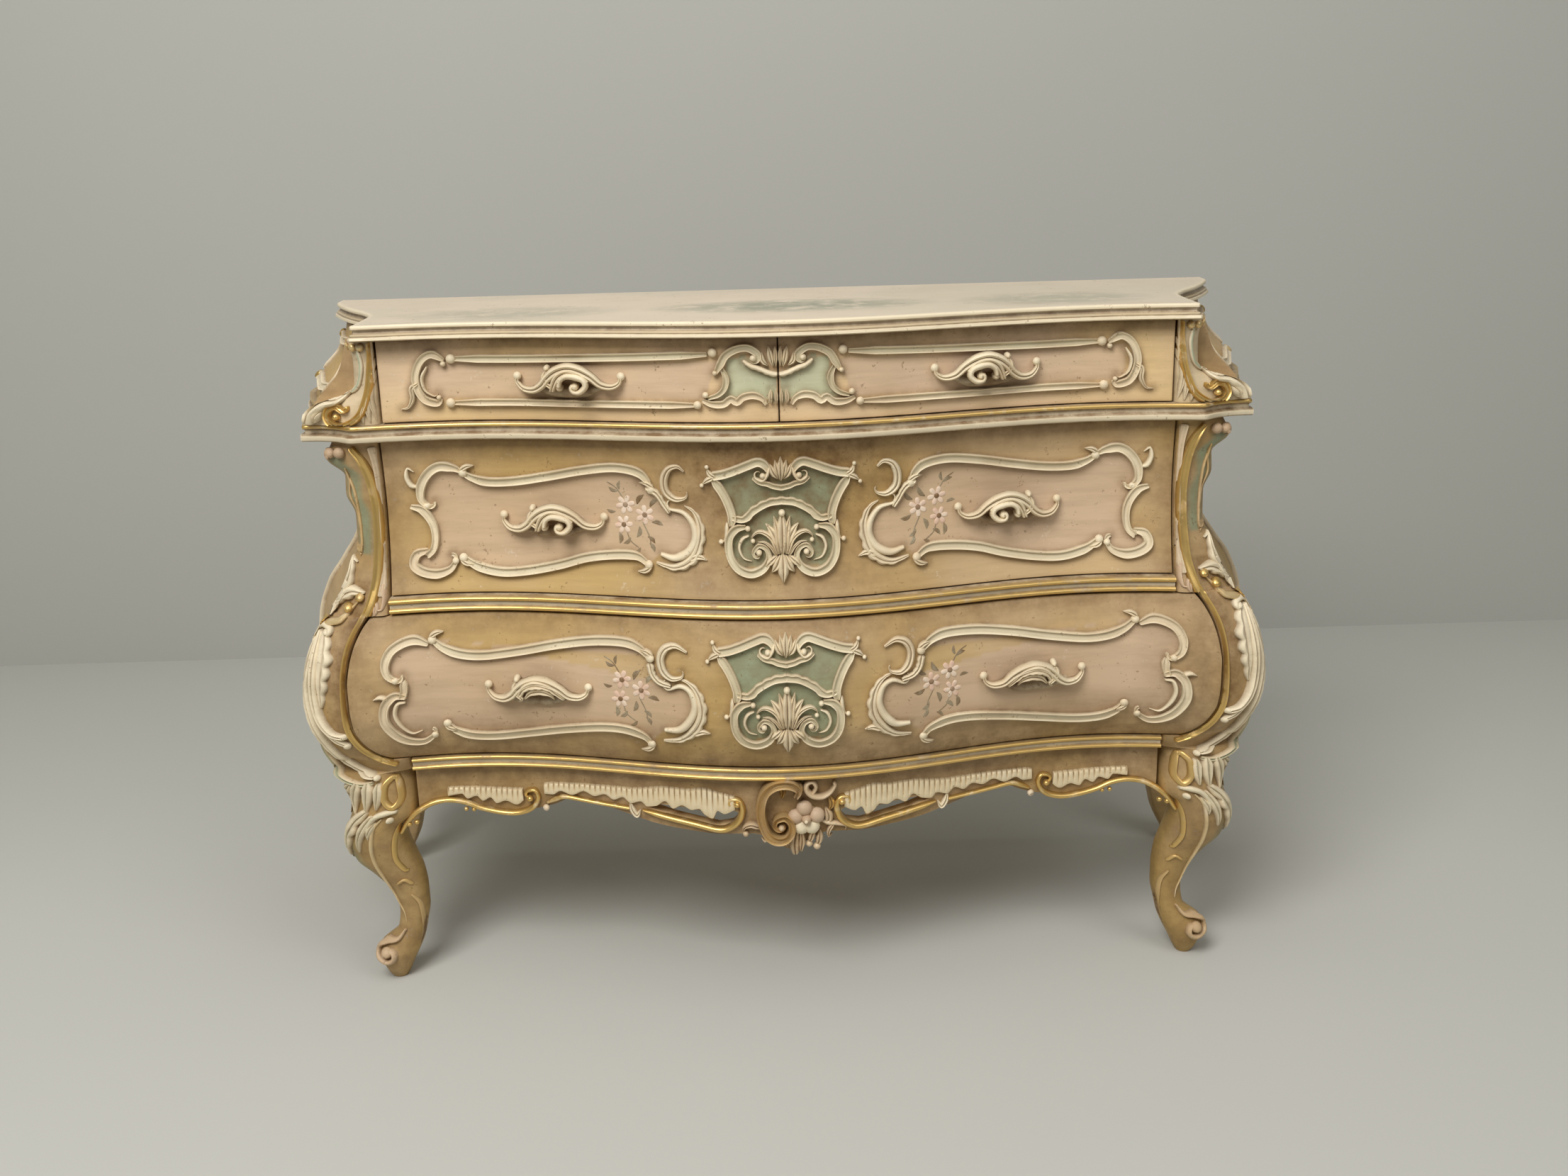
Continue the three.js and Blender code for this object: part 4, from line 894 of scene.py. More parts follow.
def inside(points, outline):
    """Which points lie within a closed outline"""
    x, z = points[..., 0], points[..., 1]
    result = np.zeros(x.shape, bool)
    for (ax, az), (bx, bz) in zip(outline, outline[1:] + outline[:1]):
        crosses = (az > z) != (bz > z)
        edge = ax + (bx - ax) * (z - az) / (bz - az + 1e-9)
        result ^= crosses & (x < edge)
    return result


def nearness(points, strokes, reach):
    """1 on a carved line, falling away over the reach"""
    lines = np.vstack([one["line"] for one in strokes])
    flat = points.reshape(-1, 2)
    nearest = np.full(len(flat), 1e9)
    for block in np.array_split(lines, max(1, len(lines) // 200)):
        gaps = np.linalg.norm(flat[:, None, :] - block[None, :, :], axis=2)
        nearest = np.minimum(nearest, gaps.min(axis=1))
    return np.exp(-(np.maximum(nearest - STROKE_HALF, 0) / reach) ** 1.3).reshape(points.shape[:2])


def front_masks(points, strokes, fields, rooms):
    """Glaze along the carving, green inside the fields and rose inside the rooms"""
    masks = {"glaze": HALO * nearness(points, strokes, HALO_REACH)}
    for mask, outlines in (("green", fields), ("rose", rooms)):
        masks[mask] = np.any([inside(points, outline) for outline in outlines], axis=0) * 1.0
    return masks


def spaced(low, high, step, edge=(0.0, 0.4, 1.4)):
    """Even stations with a few close ones at each end, to round the edge"""
    inner = np.linspace(low + edge[-1], high - edge[-1], max(3, int((high - low) / step)))
    return np.concatenate([[low + edge[0], low + edge[1]], inner, [high - edge[1], high - edge[0]]])


def drawer_front(name, face, shape, low, high, body, strokes, fields, rooms, paint=None,
                 edge_dirt=0.6, low_dirt=0.0, middle_dirt=0.0, right_dirt=0.0, sea=(1.0, 0.3)):
    """shape(share, z) gives x across the front; sea: the green of a field and its darkening, glaze and
    painted shade
    """
    zs = spaced(low, high, FRONT_STEP)
    shares = spaced(0.0, 1000.0, FRONT_STEP) / 1000.0
    ring = np.concatenate([zs, [high, (low + high) / 2, low], zs[:1]])
    u, z = np.meshgrid(shares, ring, indexing="ij")
    x = shape(u, z)
    y = face(x, z)
    behind = y[:, len(zs):-1] + FRONT_THICK
    inward = np.minimum(u, 1 - u) * (shape(1.0, z) - shape(0.0, z))
    edge_z = np.clip(np.minimum(z - low, high - z) / SOFT_EDGE, 0, 1)
    edge_x = np.clip(inward / SOFT_EDGE, 0, 1)
    for edge in (edge_z, edge_x):
        y += SOFT_EDGE * (1 - np.sqrt(1 - (1 - edge) ** 2))
    y[:, len(zs):-1] = behind
    rows = np.stack([x, y, z], axis=-1)

    masks = front_masks(rows[..., [0, 2]], strokes, fields, rooms)
    plain = 1 - np.maximum(masks["rose"], masks["green"])
    height = (z - low) / (high - low)
    masks["glaze"] = np.maximum.reduce([
        masks["glaze"],
        # darkening of the fields: brown glaze, and on the middle drawer also painted shade under the
        # waist
        masks["green"] * sea[1],
        # darker towards the left and right ends of the front
        edge_dirt * np.clip(1 - inward / SIDE_REACH, 0, 1) ** 1.5,
        # painted shadow under the board or moulding above, darkest at the top edge
        ABOVE_SHADOW * np.clip(1 - (high - z) / (ABOVE_SHARE * (high - low)), 0, 1) ** 1.3,
        # painted shade on the lower part of the front, which faces down
        low_dirt * np.clip(1 - (z - low) / (BELOW_SHARE * (high - low)), 0, 1),
        # brown glaze between the frames, with painted shadow from above at the middle, stronger towards
        # the top
        middle_dirt * (0.45 + 0.55 * height) * np.exp(-(x / MIDDLE_REACH) ** 4) * plain,
        # painted shade where the light falls off towards the right end
        right_dirt * np.clip((x - RIGHT_FROM) / RIGHT_SPAN, 0, 1),
        WORN_EDGE * (1 - edge_z) + WORN_EDGE * (1 - edge_x),
    ])
    masks["green"] = masks["green"] * sea[0]
    masks = {mask: capped(values, values[[0, -1]]) for mask, values in masks.items()}
    rows = closed(rows, 1, lambda cap, end: face(cap[:, 0], cap[:, 2]) + FRONT_THICK / 2)
    return finished(woven(name, rows, masks), paint or ground, body, [name])


def room(lines, side):
    order = ("top_left", "left", "bottom_left", "bottom", "right", "link")
    outline = [point for key in order for point in lines[key]] + lines["top"]
    return mirrored(outline, side)


def field(points, drop=0.0):
    right = [(x, z - drop) for x, z in points]
    return right + [(-x, z) for x, z in reversed(right)]


MID_HALF = OPENING - GAP
INNER, OUTER = GAP / 2, TOP_OPENING - GAP
SHORT_ROOM = [(430, 785), (430, 832), (70, 832), (90, 785)]
drawer_front(
    "drawer_middle_front", lower_face, lambda u, z: MID_HALF * (2 * u - 1), MID_TOP + GAP,
    WAIST_LOW - GAP, "drawer_middle", mid_frames[1] + mid_frames[-1] + cartouches["middle"],
    [field(CARTOUCHE_FIELD)], [room(MID_LINES, 1), room(MID_LINES, -1)],
    middle_dirt=0.85, right_dirt=0.4, sea=(1.0, 0.68),
)
drawer_front(
    "drawer_low_front", lower_face, lambda u, z: low_half(z) * (2 * u - 1), BOTTOM_TOP + GAP,
    MID_LOW - GAP, "drawer_low", low_frames[1] + low_frames[-1] + cartouches["low"],
    [field(CARTOUCHE_FIELD, LOW_CARTOUCHE_DROP)], [room(LOW_LINES, 1), room(LOW_LINES, -1)],
    low_dirt=0.7, middle_dirt=0.3, right_dirt=0.55, sea=(1.0, 0.42),
)
# the short drawers take the lighter copy of the ground, painted light
for word, side in SIDES:
    drawer_front(
        f"drawer_top_{word}_front", upper_face,
        lambda u, z: side * (INNER + (OUTER - INNER) * (u if side > 0 else 1 - u)),
        WAIST_TOP + GAP, TOP_LOW - GAP, f"drawer_top_{word}", short_trims[side],
        [mirrored(SHORT_FIELD, side)], [mirrored(SHORT_ROOM, side)],
        paint=pale_ground, edge_dirt=0.12, sea=(0.95, 0.0),
    )

# %% [markdown]
# The ornament of the drawers is laid on those faces. The frames stand for the plain bands of the
# CAD model, and the cartouches for its plain shields.

# %% Ornament on the drawers
on_lower, on_upper = front_surface(lower_face), front_surface(upper_face)
for word, side in SIDES:
    for node, strokes, surface, body in (
        (f"middle_frame_{word}", mid_frames[side], on_lower, "drawer_middle"),
        (f"low_frame_{word}", low_frames[side], on_lower, "drawer_low"),
        (f"short_moulding_{word}", short_trims[side], on_upper, f"drawer_top_{word}"),
    ):
        carve(node, strokes, surface, carving, body, [node])
for word, strokes in cartouches.items():
    carve(f"{word}_cartouche", strokes, on_lower, carving, f"drawer_{word}", [f"{word}_cartouche"])

# %% [markdown]
# Near the inner end of each frame the decorator painted a spray of three small daisies with thin
# stems and dark leaves. Each petal and leaf is one flat touch of the brush, so each is a stroke
# hardly higher than the paint.

# %% Painted daisies
daisy_white, daisy_pink = colour(0.82, 0.66, 0.50), colour(0.70, 0.43, 0.30)
flower_paint = painted("daisy_paint", "painted_ground", daisy_white, daisy_pink, 60.0, 0.7, 0.5, 0.1)
LIFT = 0.5
LEAFY = {"green": np.full(1, 0.6), "glaze": 0.8}


def daisy(x, z, size, turn, petals=6):
    touches = []
    for k in range(petals):
        angle = turn + 2 * math.pi * k / petals
        along = np.array([math.cos(angle), math.sin(angle)])
        start, end = np.array([x, z]) + along * 1.5, np.array([x, z]) + along * size
        touches.append(stroke([start, (start + end) / 2, end], size * 0.62, LIFT * 2, "round",
                              ((0, 0.45), (0.65, 1), (1, 0.7)), glaze=0.0))
    touches.append(ball(x, z, size * 0.3, LIFT * 4, rose=1.0, glaze=0.9))
    return touches


def leaf(x, z, length, turn):
    end = (x + length * math.cos(turn), z + length * math.sin(turn))
    bow = (x + length * 0.5 * math.cos(turn + 0.3), z + length * 0.5 * math.sin(turn + 0.3))
    return stroke([(x, z), bow, end], length * 0.42, LIFT * 1.4, "leaf", SPINDLE, **LEAFY)


def spray(x, z, side):
    """Three daisies with stems and leaves around a place, leaning to a side"""
    def spot(dx, dz):
        return x + side * dx, z + dz

    def turned(angle):
        return angle if side > 0 else math.pi - angle
    touches = []
    for dx, dz, size, turn in ((5, 13, 11, 0.2), (-19, 1, 11, 0.6), (8, -12, 10.5, 0.1)):
        touches += daisy(*spot(dx, dz), size, turn)
    for line in ([(8, 22), (16, 34), (27, 41)], [(-16, -8), (-24, -26), (-26, -40)],
                 [(4, -22), (0, -32), (-10, -40)]):
        touches.append(stroke([spot(*point) for point in line], 1.5, LIFT, "round", **LEAFY))
    for dx, dz, length, angle in (
        (-10, 14, 15, 2.2), (-26, 11, 14, 2.4), (14, 30, 12, 0.4), (12, 32, 11, 1.7),
        (-28, -8, 14, 3.4), (-12, -14, 14, 5.0), (-22, -26, 12, 3.9), (14, -22, 14, 4.7),
        (18, 4, 11, 0.2), (-12, -40, 11, 5.6), (-24, -34, 12, 4.2), (0, -28, 12, 5.6),
    ):
        touches.append(leaf(*spot(dx, dz), length, turned(angle)))
    return touches


for word, side in SIDES:
    carve(f"middle_daisies_{word}", spray(side * 188.0, 640.0, side), on_lower, flower_paint,
          "drawer_middle")
    carve(f"low_daisies_{word}", spray(side * 200.0, 427.0, side), on_lower, flower_paint, "drawer_low")

# %% [markdown]
# The handles are carved bars. The arms curl up at both ends and touch the front there, and the
# middle arches forwards over a hollow for the fingers. The height of every stroke therefore follows
# one arch, so that the bar stands free in the middle. In the hollow, a low stroke stained dark is
# painted shadow under the bar.

# %% Handles
HANDLE_HALF, HANDLE_REACH, BAR_THICK = 70.0, 19.0, 9.0


def handle_strokes(middle, low, side, leafy):
    def at(points):
        return [(side * (middle + across), low + up) for across, up in points]

    def arch(x):
        share = np.clip(np.abs(np.abs(x) - middle) / HANDLE_HALF, 0, 1)
        return HANDLE_REACH * (1 - share ** 1.8)

    def bud(across, up, size, high):
        lift = float(arch(np.array([middle + across]))[0])
        return ball(side * (middle + across), low + up, size, lift + high)
    turn = -side
    bar = {"lift": arch, "thick": BAR_THICK}
    if leafy:
        inner = [
            stroke(at([(24, 8), (16, 20), (2, 26), (-14, 23), (-26, 13), (-34, 6)]), 17, 13, "leaf",
                   ((0, 0.4), (0.4, 1), (1, 0.25)), frill=(-turn, 7, 0.3), **bar),
            stroke(at([(16, 6), (8, 14), (-4, 17), (-16, 13), (-22, 6)]), 11, 9, "leaf", SPINDLE, **bar),
        ]
    else:
        inner = [
            stroke(at([(20, 3), (17, 11), (12, 19), (4, 24), (-6, 25), (-16, 21), (-23, 13)]), 12, 12,
                   "leaf", ((0, 0.6), (0.3, 1), (1, 0.8)), **bar),
            stroke(coil(at([(11, 8), (9, 16), (2, 21), (-8, 21), (-19, 17), (-22, 9), (-15, 2),
                            (-8, 2)]), 5, 0.5, -turn), 9, 14, "round",
                   ((0, 0.7), (0.4, 1.1), (1, 0.6)), **bar),
            bud(11, 6, 4.6, 10),
            bud(-9, 8, 5.4, 14),
        ]
    return inner + [
        stroke(at([(64, 18), (65, 12), (57, 4), (44, 3), (33, 9), (25, 18), (14, 26), (0, 30),
                   (-15, 27), (-28, 20), (-40, 10), (-53, 7), (-62, 11), (-64, 18)]), 11, 10,
               "leaf", ((0, 0.4), (0.1, 0.7), (0.4, 1.2), (0.6, 1.3), (0.85, 0.8), (1, 0.4)), **bar),
        stroke(at([(27, 8), (29, 18), (26, 28)]), 9, 9, "leaf", SPINDLE, **bar),
        stroke(at([(28, 12), (20, 6), (24, 1)]), 7, 9, "leaf", POINTED, **bar),
        # painted shadow: a low dark stroke on the front, under the bar
        stroke(at([(46, 5), (25, 2), (0, 0), (-25, 2), (-44, 7)]), 16, 11, "round",
               ((0, 0.3), (0.25, 1), (0.75, 1), (1, 0.3)), glaze=0.8),
        bud(64.5, 19, 5.2, 7),
        bud(-64.5, 19, 5.2, 7),
        bud(26, 29, 4.0, 7),
    ]


for node, middle, low, surface, body in (
    ("top_handle", 253.0, 794.5, on_upper, "drawer_top_{}"),
    ("middle_handle", 285.0, 618.5, on_lower, "drawer_middle"),
    ("low_handle", 313.0, 409.0, on_lower, "drawer_low"),
):
    for word, side in SIDES:
        strokes = handle_strokes(middle, low, side, node == "low_handle")
        carve(f"{node}_{word}", strokes, surface, carving, body.format(word), [f"{node}_{word}"])

# %% [markdown]
# The rails between the drawers are one section swept along the serpentine: two gilded beads with a
# cream hollow between them. They are swept here with many more stations than the CAD rails.

# %% Rails
RAIL_DEEP, RAIL_PROUD, RAIL_PLAY = 30.0, 9.0, 0.3
RAIL_HALF = (                           # share of the height, share of the relief, glaze, gilt
    (0, 0, 1, 0), (0.03, 0.55, 0.7, 0.5), (0.12, 0.92, 0.1, 1), (0.2, 1, 0, 1), (0.3, 0.9, 0.1, 1),
    (0.36, 0.5, 0.9, 0.5), (0.42, 0.42, 0.5, 0), (0.5, 0.48, 0.1, 0),
)
RAIL_SECTION = [*RAIL_HALF, *[(1 - up, *rest) for up, *rest in RAIL_HALF[-2::-1]]]


def swept_rail(name, half, low, high, node):
    middle = (low + high) / 2
    back = -RAIL_DEEP / RAIL_PROUD
    section = [(0, back, 0.6, 0), *RAIL_SECTION, (1, back, 0.6, 0), (0, back, 0.6, 0)]
    up, out, glaze, gilt = np.array(section, float).T
    xs, inner = np.linspace(-half, half, 180), high - low - 2 * RAIL_PLAY
    x, z = np.meshgrid(xs, low + RAIL_PLAY + inner * up, indexing="ij")
    rows = np.stack([x, lower_face(x, middle) - out * RAIL_PROUD, z], axis=-1)
    core = [(end, float(lower_face(end, middle)) + RAIL_DEEP / 2, middle) for end in (-half, half)]
    rows = capped(rows, [np.tile(point, (len(up), 1)) for point in core])
    piece = woven(name, rows, {"glaze": glaze * 0.8, "gilt": gilt, "cream": 1 - gilt})
    return finished(piece, gilding, "carcass", [node], 60)


swept_rail("mid_rail_beads", OPENING, MID_LOW, MID_TOP, "mid_rail")
swept_rail("bottom_rail_beads", APRON_HALF, LEG_HIGH, BOTTOM_TOP, "bottom_rail")

# %% [markdown]
# The top board and the waist board have moulded edges: lips, coves and beads that follow the front,
# the scooped corners and the sides. An outline in plan is drawn in or out at each level, which is
# what a moulding cutter does as it runs round the board.

# %% Moulded boards
OUTLINE_STEP, FAN_SHARE, FAN_ROWS = 6.0, 0.35, (0.35, 0.7)


def even(points, step):
    """Points spaced evenly along a line"""
    line = np.array(points, float)
    along = np.concatenate([[0], np.cumsum(np.linalg.norm(np.diff(line, axis=0), axis=1))])
    at = np.linspace(0, along[-1], max(2, int(along[-1] / step)))
    return np.stack([np.interp(at, along, line[:, k]) for k in (0, 1)], axis=1)


def moulded_board(name, right_half, base, levels, paint, node):
    """right_half: front middle to back; levels: height over the base, inset, glaze, gilt, cream"""
    outline = even(right_half, OUTLINE_STEP)
    whole = np.concatenate([outline[::-1] * [-1, 1], outline[1:]])
    heading = np.gradient(whole, axis=0)
    heading /= np.linalg.norm(heading, axis=1)[:, None]
    inward = np.stack([-heading[:, 1], heading[:, 0]], axis=1)
    padded = np.pad(inward, ((3, 3), (0, 0)), mode="edge")
    inward = sum(padded[k:k + len(inward)] for k in range(7)) / 7
    inward /= np.linalg.norm(inward, axis=1)[:, None]
    columns = []
    for up, inset, *_ in levels:
        moved = whole + inward * inset
        moved[[0, -1], 1] = whole[[0, -1], 1]
        moved[:, 1] = np.minimum(moved[:, 1], whole[0, 1])
        columns.append(np.column_stack([moved, np.full(len(moved), base + up)]))
    under, over = [np.tile([0.0, FAN_SHARE * whole[0, 1], base + levels[k][0]], (len(whole), 1))
                   for k in (0, -1)]
    last = columns[-1]
    columns = [under, *columns, *[last + (over - last) * share for share in FAN_ROWS], over]
    rows = np.stack(columns, axis=1)
    masks = {}
    for mask, values in zip(("glaze", "gilt", "cream"), list(zip(*levels))[2:]):
        masks[mask] = np.array([values[0], *values] + [0.0] * (len(FAN_ROWS) + 1))
    return finished(woven(name, np.concatenate([rows, rows[:1]]), masks), paint, "carcass", [node], 50)


TOP_OVERHANG = 20.0
top_half = [(x, float(upper_face(x)) - TOP_OVERHANG) for x in np.linspace(0, TIP_HALF, 60)]
for y in np.linspace(12, BACK_Y, 40):
    top_half.append((TIP_HALF + float(flare(y, TOP_FLARE)), y))
moulded_board("top_board", top_half, TOP_LOW, [
    (0, 10, 1, 0, 0), (0.6, -1, 0.8, 0, 1), (2.4, -4, 0.1, 0, 1), (5, -3.4, 0.1, 0, 1),
    (6.4, -0.6, 0.7, 0, 0.6), (7, -1.2, 0.2, 0.3, 0.5), (8.6, -1, 0.1, 0.2, 0.6),
    (9.6, 2.6, 0.5, 0.2, 0.3), (12, 4, 0.7, 0, 0.3), (14.4, 3.2, 0.4, 0, 0.6), (15.4, 0.2, 0.3, 0, 1),
    (17.6, 0, 0, 0, 1), (19.3, 0.6, 0.1, 0, 1), (20, 2.4, 0, 0, 0.4), (20, 8, 0, 0, 0),
], tabletop, "top")

WAIST_OVERHANG, WAIST_FRONT, WAIST_TIP, WAIST_TIP_Y = 13.0, 527.0, 594.0, 21.0
WAIST_BACK = BACK_Y - 12.3
waist_half = [(x, float(upper_face(x)) - WAIST_OVERHANG) for x in np.linspace(0, WAIST_FRONT, 60)]
start, tip = np.array(waist_half[-1]), np.array([WAIST_TIP, WAIST_TIP_Y])
bow = np.array([-(tip - start)[1], (tip - start)[0]]) * 0.24
for share in np.linspace(0.12, 1, 10):
    point = start + (tip - start) * share + bow * math.sin(math.pi * share) * 0.5
    waist_half.append(tuple(point))
for y in np.linspace(40, WAIST_BACK, 40):
    waist_half.append((WAIST_TIP + 4 + float(flare(y, BODY_FLARE)), y))
moulded_board("waist_mouldings", waist_half, WAIST_LOW, [
    (0, 9, 1, 0, 0), (0.5, 2, 0.8, 0, 1), (2.4, 0, 0.1, 0, 1), (6.6, 0, 0.1, 0, 1),
    (8, 2.4, 0.8, 0, 0.5), (9.6, 6.6, 0.9, 0, 0), (12, 7.5, 0.4, 0, 0), (15, 6.6, 0.8, 0, 0),
    (15.8, 4.2, 0.7, 0.6, 0), (17.4, 3, 0, 1, 0), (19.6, 3.4, 0, 1, 0), (21, 5.4, 0.5, 0.6, 0),
    (21, 12, 0.8, 0, 0),
], carving, "waist_board")

# %% [markdown]
# The side boards are single curved slabs. They are swept here as smooth skins with a closed back,
# and each carries a scrolled moulding like those on the front.

# %% Side boards


def side_board(name, surface, y0, y1, z0, z1, side, node, thick):
    """A curved board whose back follows its face; thick: how thick it is in front and behind"""
    ys, zs = np.linspace(y0, y1, 50), np.linspace(z0, z1, 60)
    ring_z = np.concatenate([zs, zs[::-1], zs[:1]])
    y, z = np.meshgrid(ys, ring_z, indexing="ij")
    x = surface(y, z)
    depth = np.interp(y, (y0, y1), thick)
    x[:, len(zs):-1] -= depth[:, len(zs):-1]
    rows = closed(np.stack([side * x, y, z], axis=-1), 0, lambda cap, end: side * (
        surface(cap[:, 1], cap[:, 2]) - depth[end, 0] / 2))
    edge = np.clip(np.minimum(y - y0, y1 - y) / EDGE_REACH, 0, 1)
    edge = np.minimum(edge, np.clip(np.minimum(z - z0, z1 - z) / EDGE_REACH, 0, 1))
    glaze = 0.3 * (1 - edge) ** 1.5 + 0.12
    piece = woven(name, rows, {"glaze": capped(glaze, glaze[[0, -1]])})
    return finished(piece, ground, "carcass", [node], 50)


EDGE_REACH, SIDE_PLAY, LOWER_SIDE_LOW = 14.0, 0.3, 286.2
STILE_BACK, REAR_STILE, POST_LAP = 50.3, 339.7, 9.0
SIDE_THICK, SIDE_THICK_AT_POST = 16.0, 34.0
for word, side in SIDES:
    side_board(f"side_panel_upper_{word}", upper_side, STILE_BACK - POST_LAP, BACK_Y,
               WAIST_TOP + SIDE_PLAY, TOP_LOW - SIDE_PLAY, side, f"upper_side_{word}",
               (SIDE_THICK_AT_POST, SIDE_THICK))
    side_board(f"side_panel_lower_{word}", lower_side, STILE_BACK, REAR_STILE, LOWER_SIDE_LOW,
               WAIST_LOW - SIDE_PLAY, side, f"lower_side_{word}", (SIDE_THICK, SIDE_THICK))

SIDE_MIDDLE, UPPER_SIDE_MIDDLE = 195.0, 217.5
SIDE_RAIL = {
    "top": [(195, 706), (222, 696), (252, 700), (274, 690)],
    "side": [(290, 676), (306, 642), (298, 592), (314, 540), (324, 470), (320, 402), (304, 352)],
    "bottom": [(195, 322), (224, 334), (258, 326), (286, 336)],
}
UPPER_SIDE_RAIL = {
    "top": [(217, 838), (285, 834), (344, 838)],
    "side": [(356, 830), (366, 810), (356, 788)],
    "bottom": [(217, 779), (285, 784), (344, 780)],
}


def side_strokes(rails, middle):
    """A scrolled frame on a side board, drawn as depth and height on its rear half and mirrored"""
    strokes = []
    whole, open_end = ((0, 0.5), (0.1, 1), (0.9, 1), (1, 0.5)), ((0, 1), (0.9, 1), (1, 0.5))
    for way in (1, -1):
        drawn = {key: [(middle + way * (y - middle), z) for y, z in line]
                 for key, line in rails.items()}
        for key, shape in (("top", open_end), ("side", whole), ("bottom", open_end)):
            strokes.append(stroke(drawn[key], 11, 6, shape=shape))
        for key in ("top", "bottom"):
            strokes.append(ball(*drawn[key][-1], 6, 9, gilt=1.0))
    return strokes


def side_surface(face, side):
    def surface(rings):
        y, z, out = rings[..., 0], rings[..., 1], rings[..., 2]
        return np.stack([side * (face(y, z) + out), y, z], axis=-1)
    return surface


for word, side in SIDES:
    carve(f"side_moulding_lower_{word}", side_strokes(SIDE_RAIL, SIDE_MIDDLE),
          side_surface(lower_side, side), carving, "carcass")
    carve(f"side_moulding_upper_{word}", side_strokes(UPPER_SIDE_RAIL, UPPER_SIDE_MIDDLE),
          side_surface(upper_side, side), carving, "carcass")
    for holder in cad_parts[f"side_apron_{word}"].material_slots:
        holder.material = ground.material

# %% [markdown]
# Posts, stiles and legs are lofted from rings, one for each height. A ring is the eight-cornered
# section of the CAD post with its corners cut round three times, as a spokeshave would round them.

# %% Posts, stiles and legs
ROUNDINGS = 3


def post_ring(inner, outer, front, back, cant_share, ease_share):
    cant = (outer - inner) * cant_share
    cut = min(cant, (back - front) * cant_share) * 0.8
    ease = (outer - inner) * ease_share
    ring = np.array([
        (inner, front + ease), (inner + ease, front), (outer - cant, front), (outer, front + cut),
        (outer, back - ease), (outer - ease, back), (inner + ease, back), (inner, back),
    ])
    for _ in range(ROUNDINGS):
        after = np.roll(ring, -1, axis=0)
        ring = np.stack([ring * 0.75 + after * 0.25, ring * 0.25 + after * 0.75], axis=1).reshape(-1, 2)
    return ring


def lofted(name, levels, side, masks_of, paint, nodes):
    """levels: a ring of x and y for each height; the ends are closed with a flat fan"""
    rings = []
    for z, ring in levels:
        loop = np.concatenate([ring, ring[:1]])
        rings.append(np.column_stack([side * loop[:, 0], loop[:, 1], np.full(len(loop), z)]))
    poles = [np.tile(rings[end][:-1].mean(axis=0), (len(rings[end]), 1)) for end in (0, -1)]
    rows = capped(np.array(rings), poles)
    piece = woven(name, rows, masks_of(rows))
    return finished(piece, paint, "carcass", nodes, 55)


leg_share = [smooth([(row[0], row[k]) for row in (
    (0, 0.283, -0.06, -0.5), (0.02, 0.256, 0.02, -0.56), (0.065, 0.211, 0.16, -0.66),
    (0.125, 0.143, 0.22, -0.68), (0.18, 0.093, 0.12, -0.68), (0.242, 0.061, 0, -0.72),
    (0.33, 0.025, -0.04, -0.74), (0.41, 0.025, -0.02, -0.74), (0.505, 0.047, 0.08, -0.74),
    (0.593, 0.106, 0.26, -0.74), (0.694, 0.161, 0.42, -0.78), (0.745, 0.147, 0.44, -0.82),
    (0.795, 0.007, 0.4, -0.88), (0.88, 0.002, 0.3, -0.96), (0.99, 0.002, 0.2, -1),
)]) for k in (1, 2, 3)]
STILE_DEEP, PROUD, SEAT = 50.0, 6.0, 0.3
WAIST_GREEN_LOW, WAIST_GREEN_HIGH, HOLLOW_HIGH, CORNER_REACH = 590, 715, 560, 14
BULGE_AT, BULGE_SPREAD, KNEE_AT, KNEE_SPREAD = 345, 60, 190, 50


def stile_section(z):
    """Inner and outer edge, front and back, cant and easing of the front stile at a height"""
    outer = float(outer_edge(z))
    if z < LEG_HIGH:
        inner, front, back = [float(read(z / LEG_HIGH)) for read in leg_share]
        return outward(inner), outer, -STILE_DEEP * front, -STILE_DEEP * back, 0.3, 0.3
    inner = OPENING + SEAT
    if z <= BOTTOM_TOP:
        inner = APRON_HALF + SEAT
    elif z <= MID_LOW:
        inner = float(low_half(z)) + GAP
    return inner, outer, float(lower_face(OPENING, z)) - PROUD, STILE_DEEP, 0.6, 0.1


def stile_levels():
    steps = [*np.arange(0, 300, 4.0), 302, 305.2, 323.8, 324.4, *np.arange(328, 516, 4.0), 517.8, 518.4,
             *np.arange(522, 735, 4.0), WAIST_LOW - SEAT]
    return [(z, post_ring(*stile_section(z))) for z in steps]


def stile_masks(rows):
    x, y, z = np.abs(rows[..., 0]), rows[..., 1], rows[..., 2]
    outer = outer_edge(z)
    edge = np.clip((outer - x) / 16, 0, 1)
    lower = z < LEG_HIGH
    corner = 1 - np.clip(np.abs(outer - x - CORNER_REACH) / CORNER_REACH, 0, 1)
    green = np.where((z > WAIST_GREEN_LOW) & (z < WAIST_GREEN_HIGH), corner, 0)
    bulge_green = np.exp(-((z - BULGE_AT) / BULGE_SPREAD) ** 2) * (1 - edge) * 1.3
    leg_green = np.exp(-((z - KNEE_AT) / KNEE_SPREAD) ** 2) * (1 - edge) * 1.2
    green = np.clip(np.maximum(green * 1.6, np.maximum(bulge_green, leg_green)), 0, 1)
    inner = low_half(np.clip(z, BOTTOM_TOP, MID_LOW))
    hollow = np.exp(-((x - inner - CORNER_REACH) / CORNER_REACH) ** 2)
    hollow = hollow * (z > BOTTOM_TOP) * (z < HOLLOW_HIGH)
    glaze = np.where(lower, 0.5, 0.42) + 0.35 * hollow
    leg_inner = outward(leg_share[0](np.clip(z / LEG_HIGH, 0, 1)))
    gilt = np.maximum(0.75 * np.exp(-((x - leg_inner) / 9) ** 2), 0.2) * lower
    return {"green": green, "glaze": glaze, "gilt": gilt}


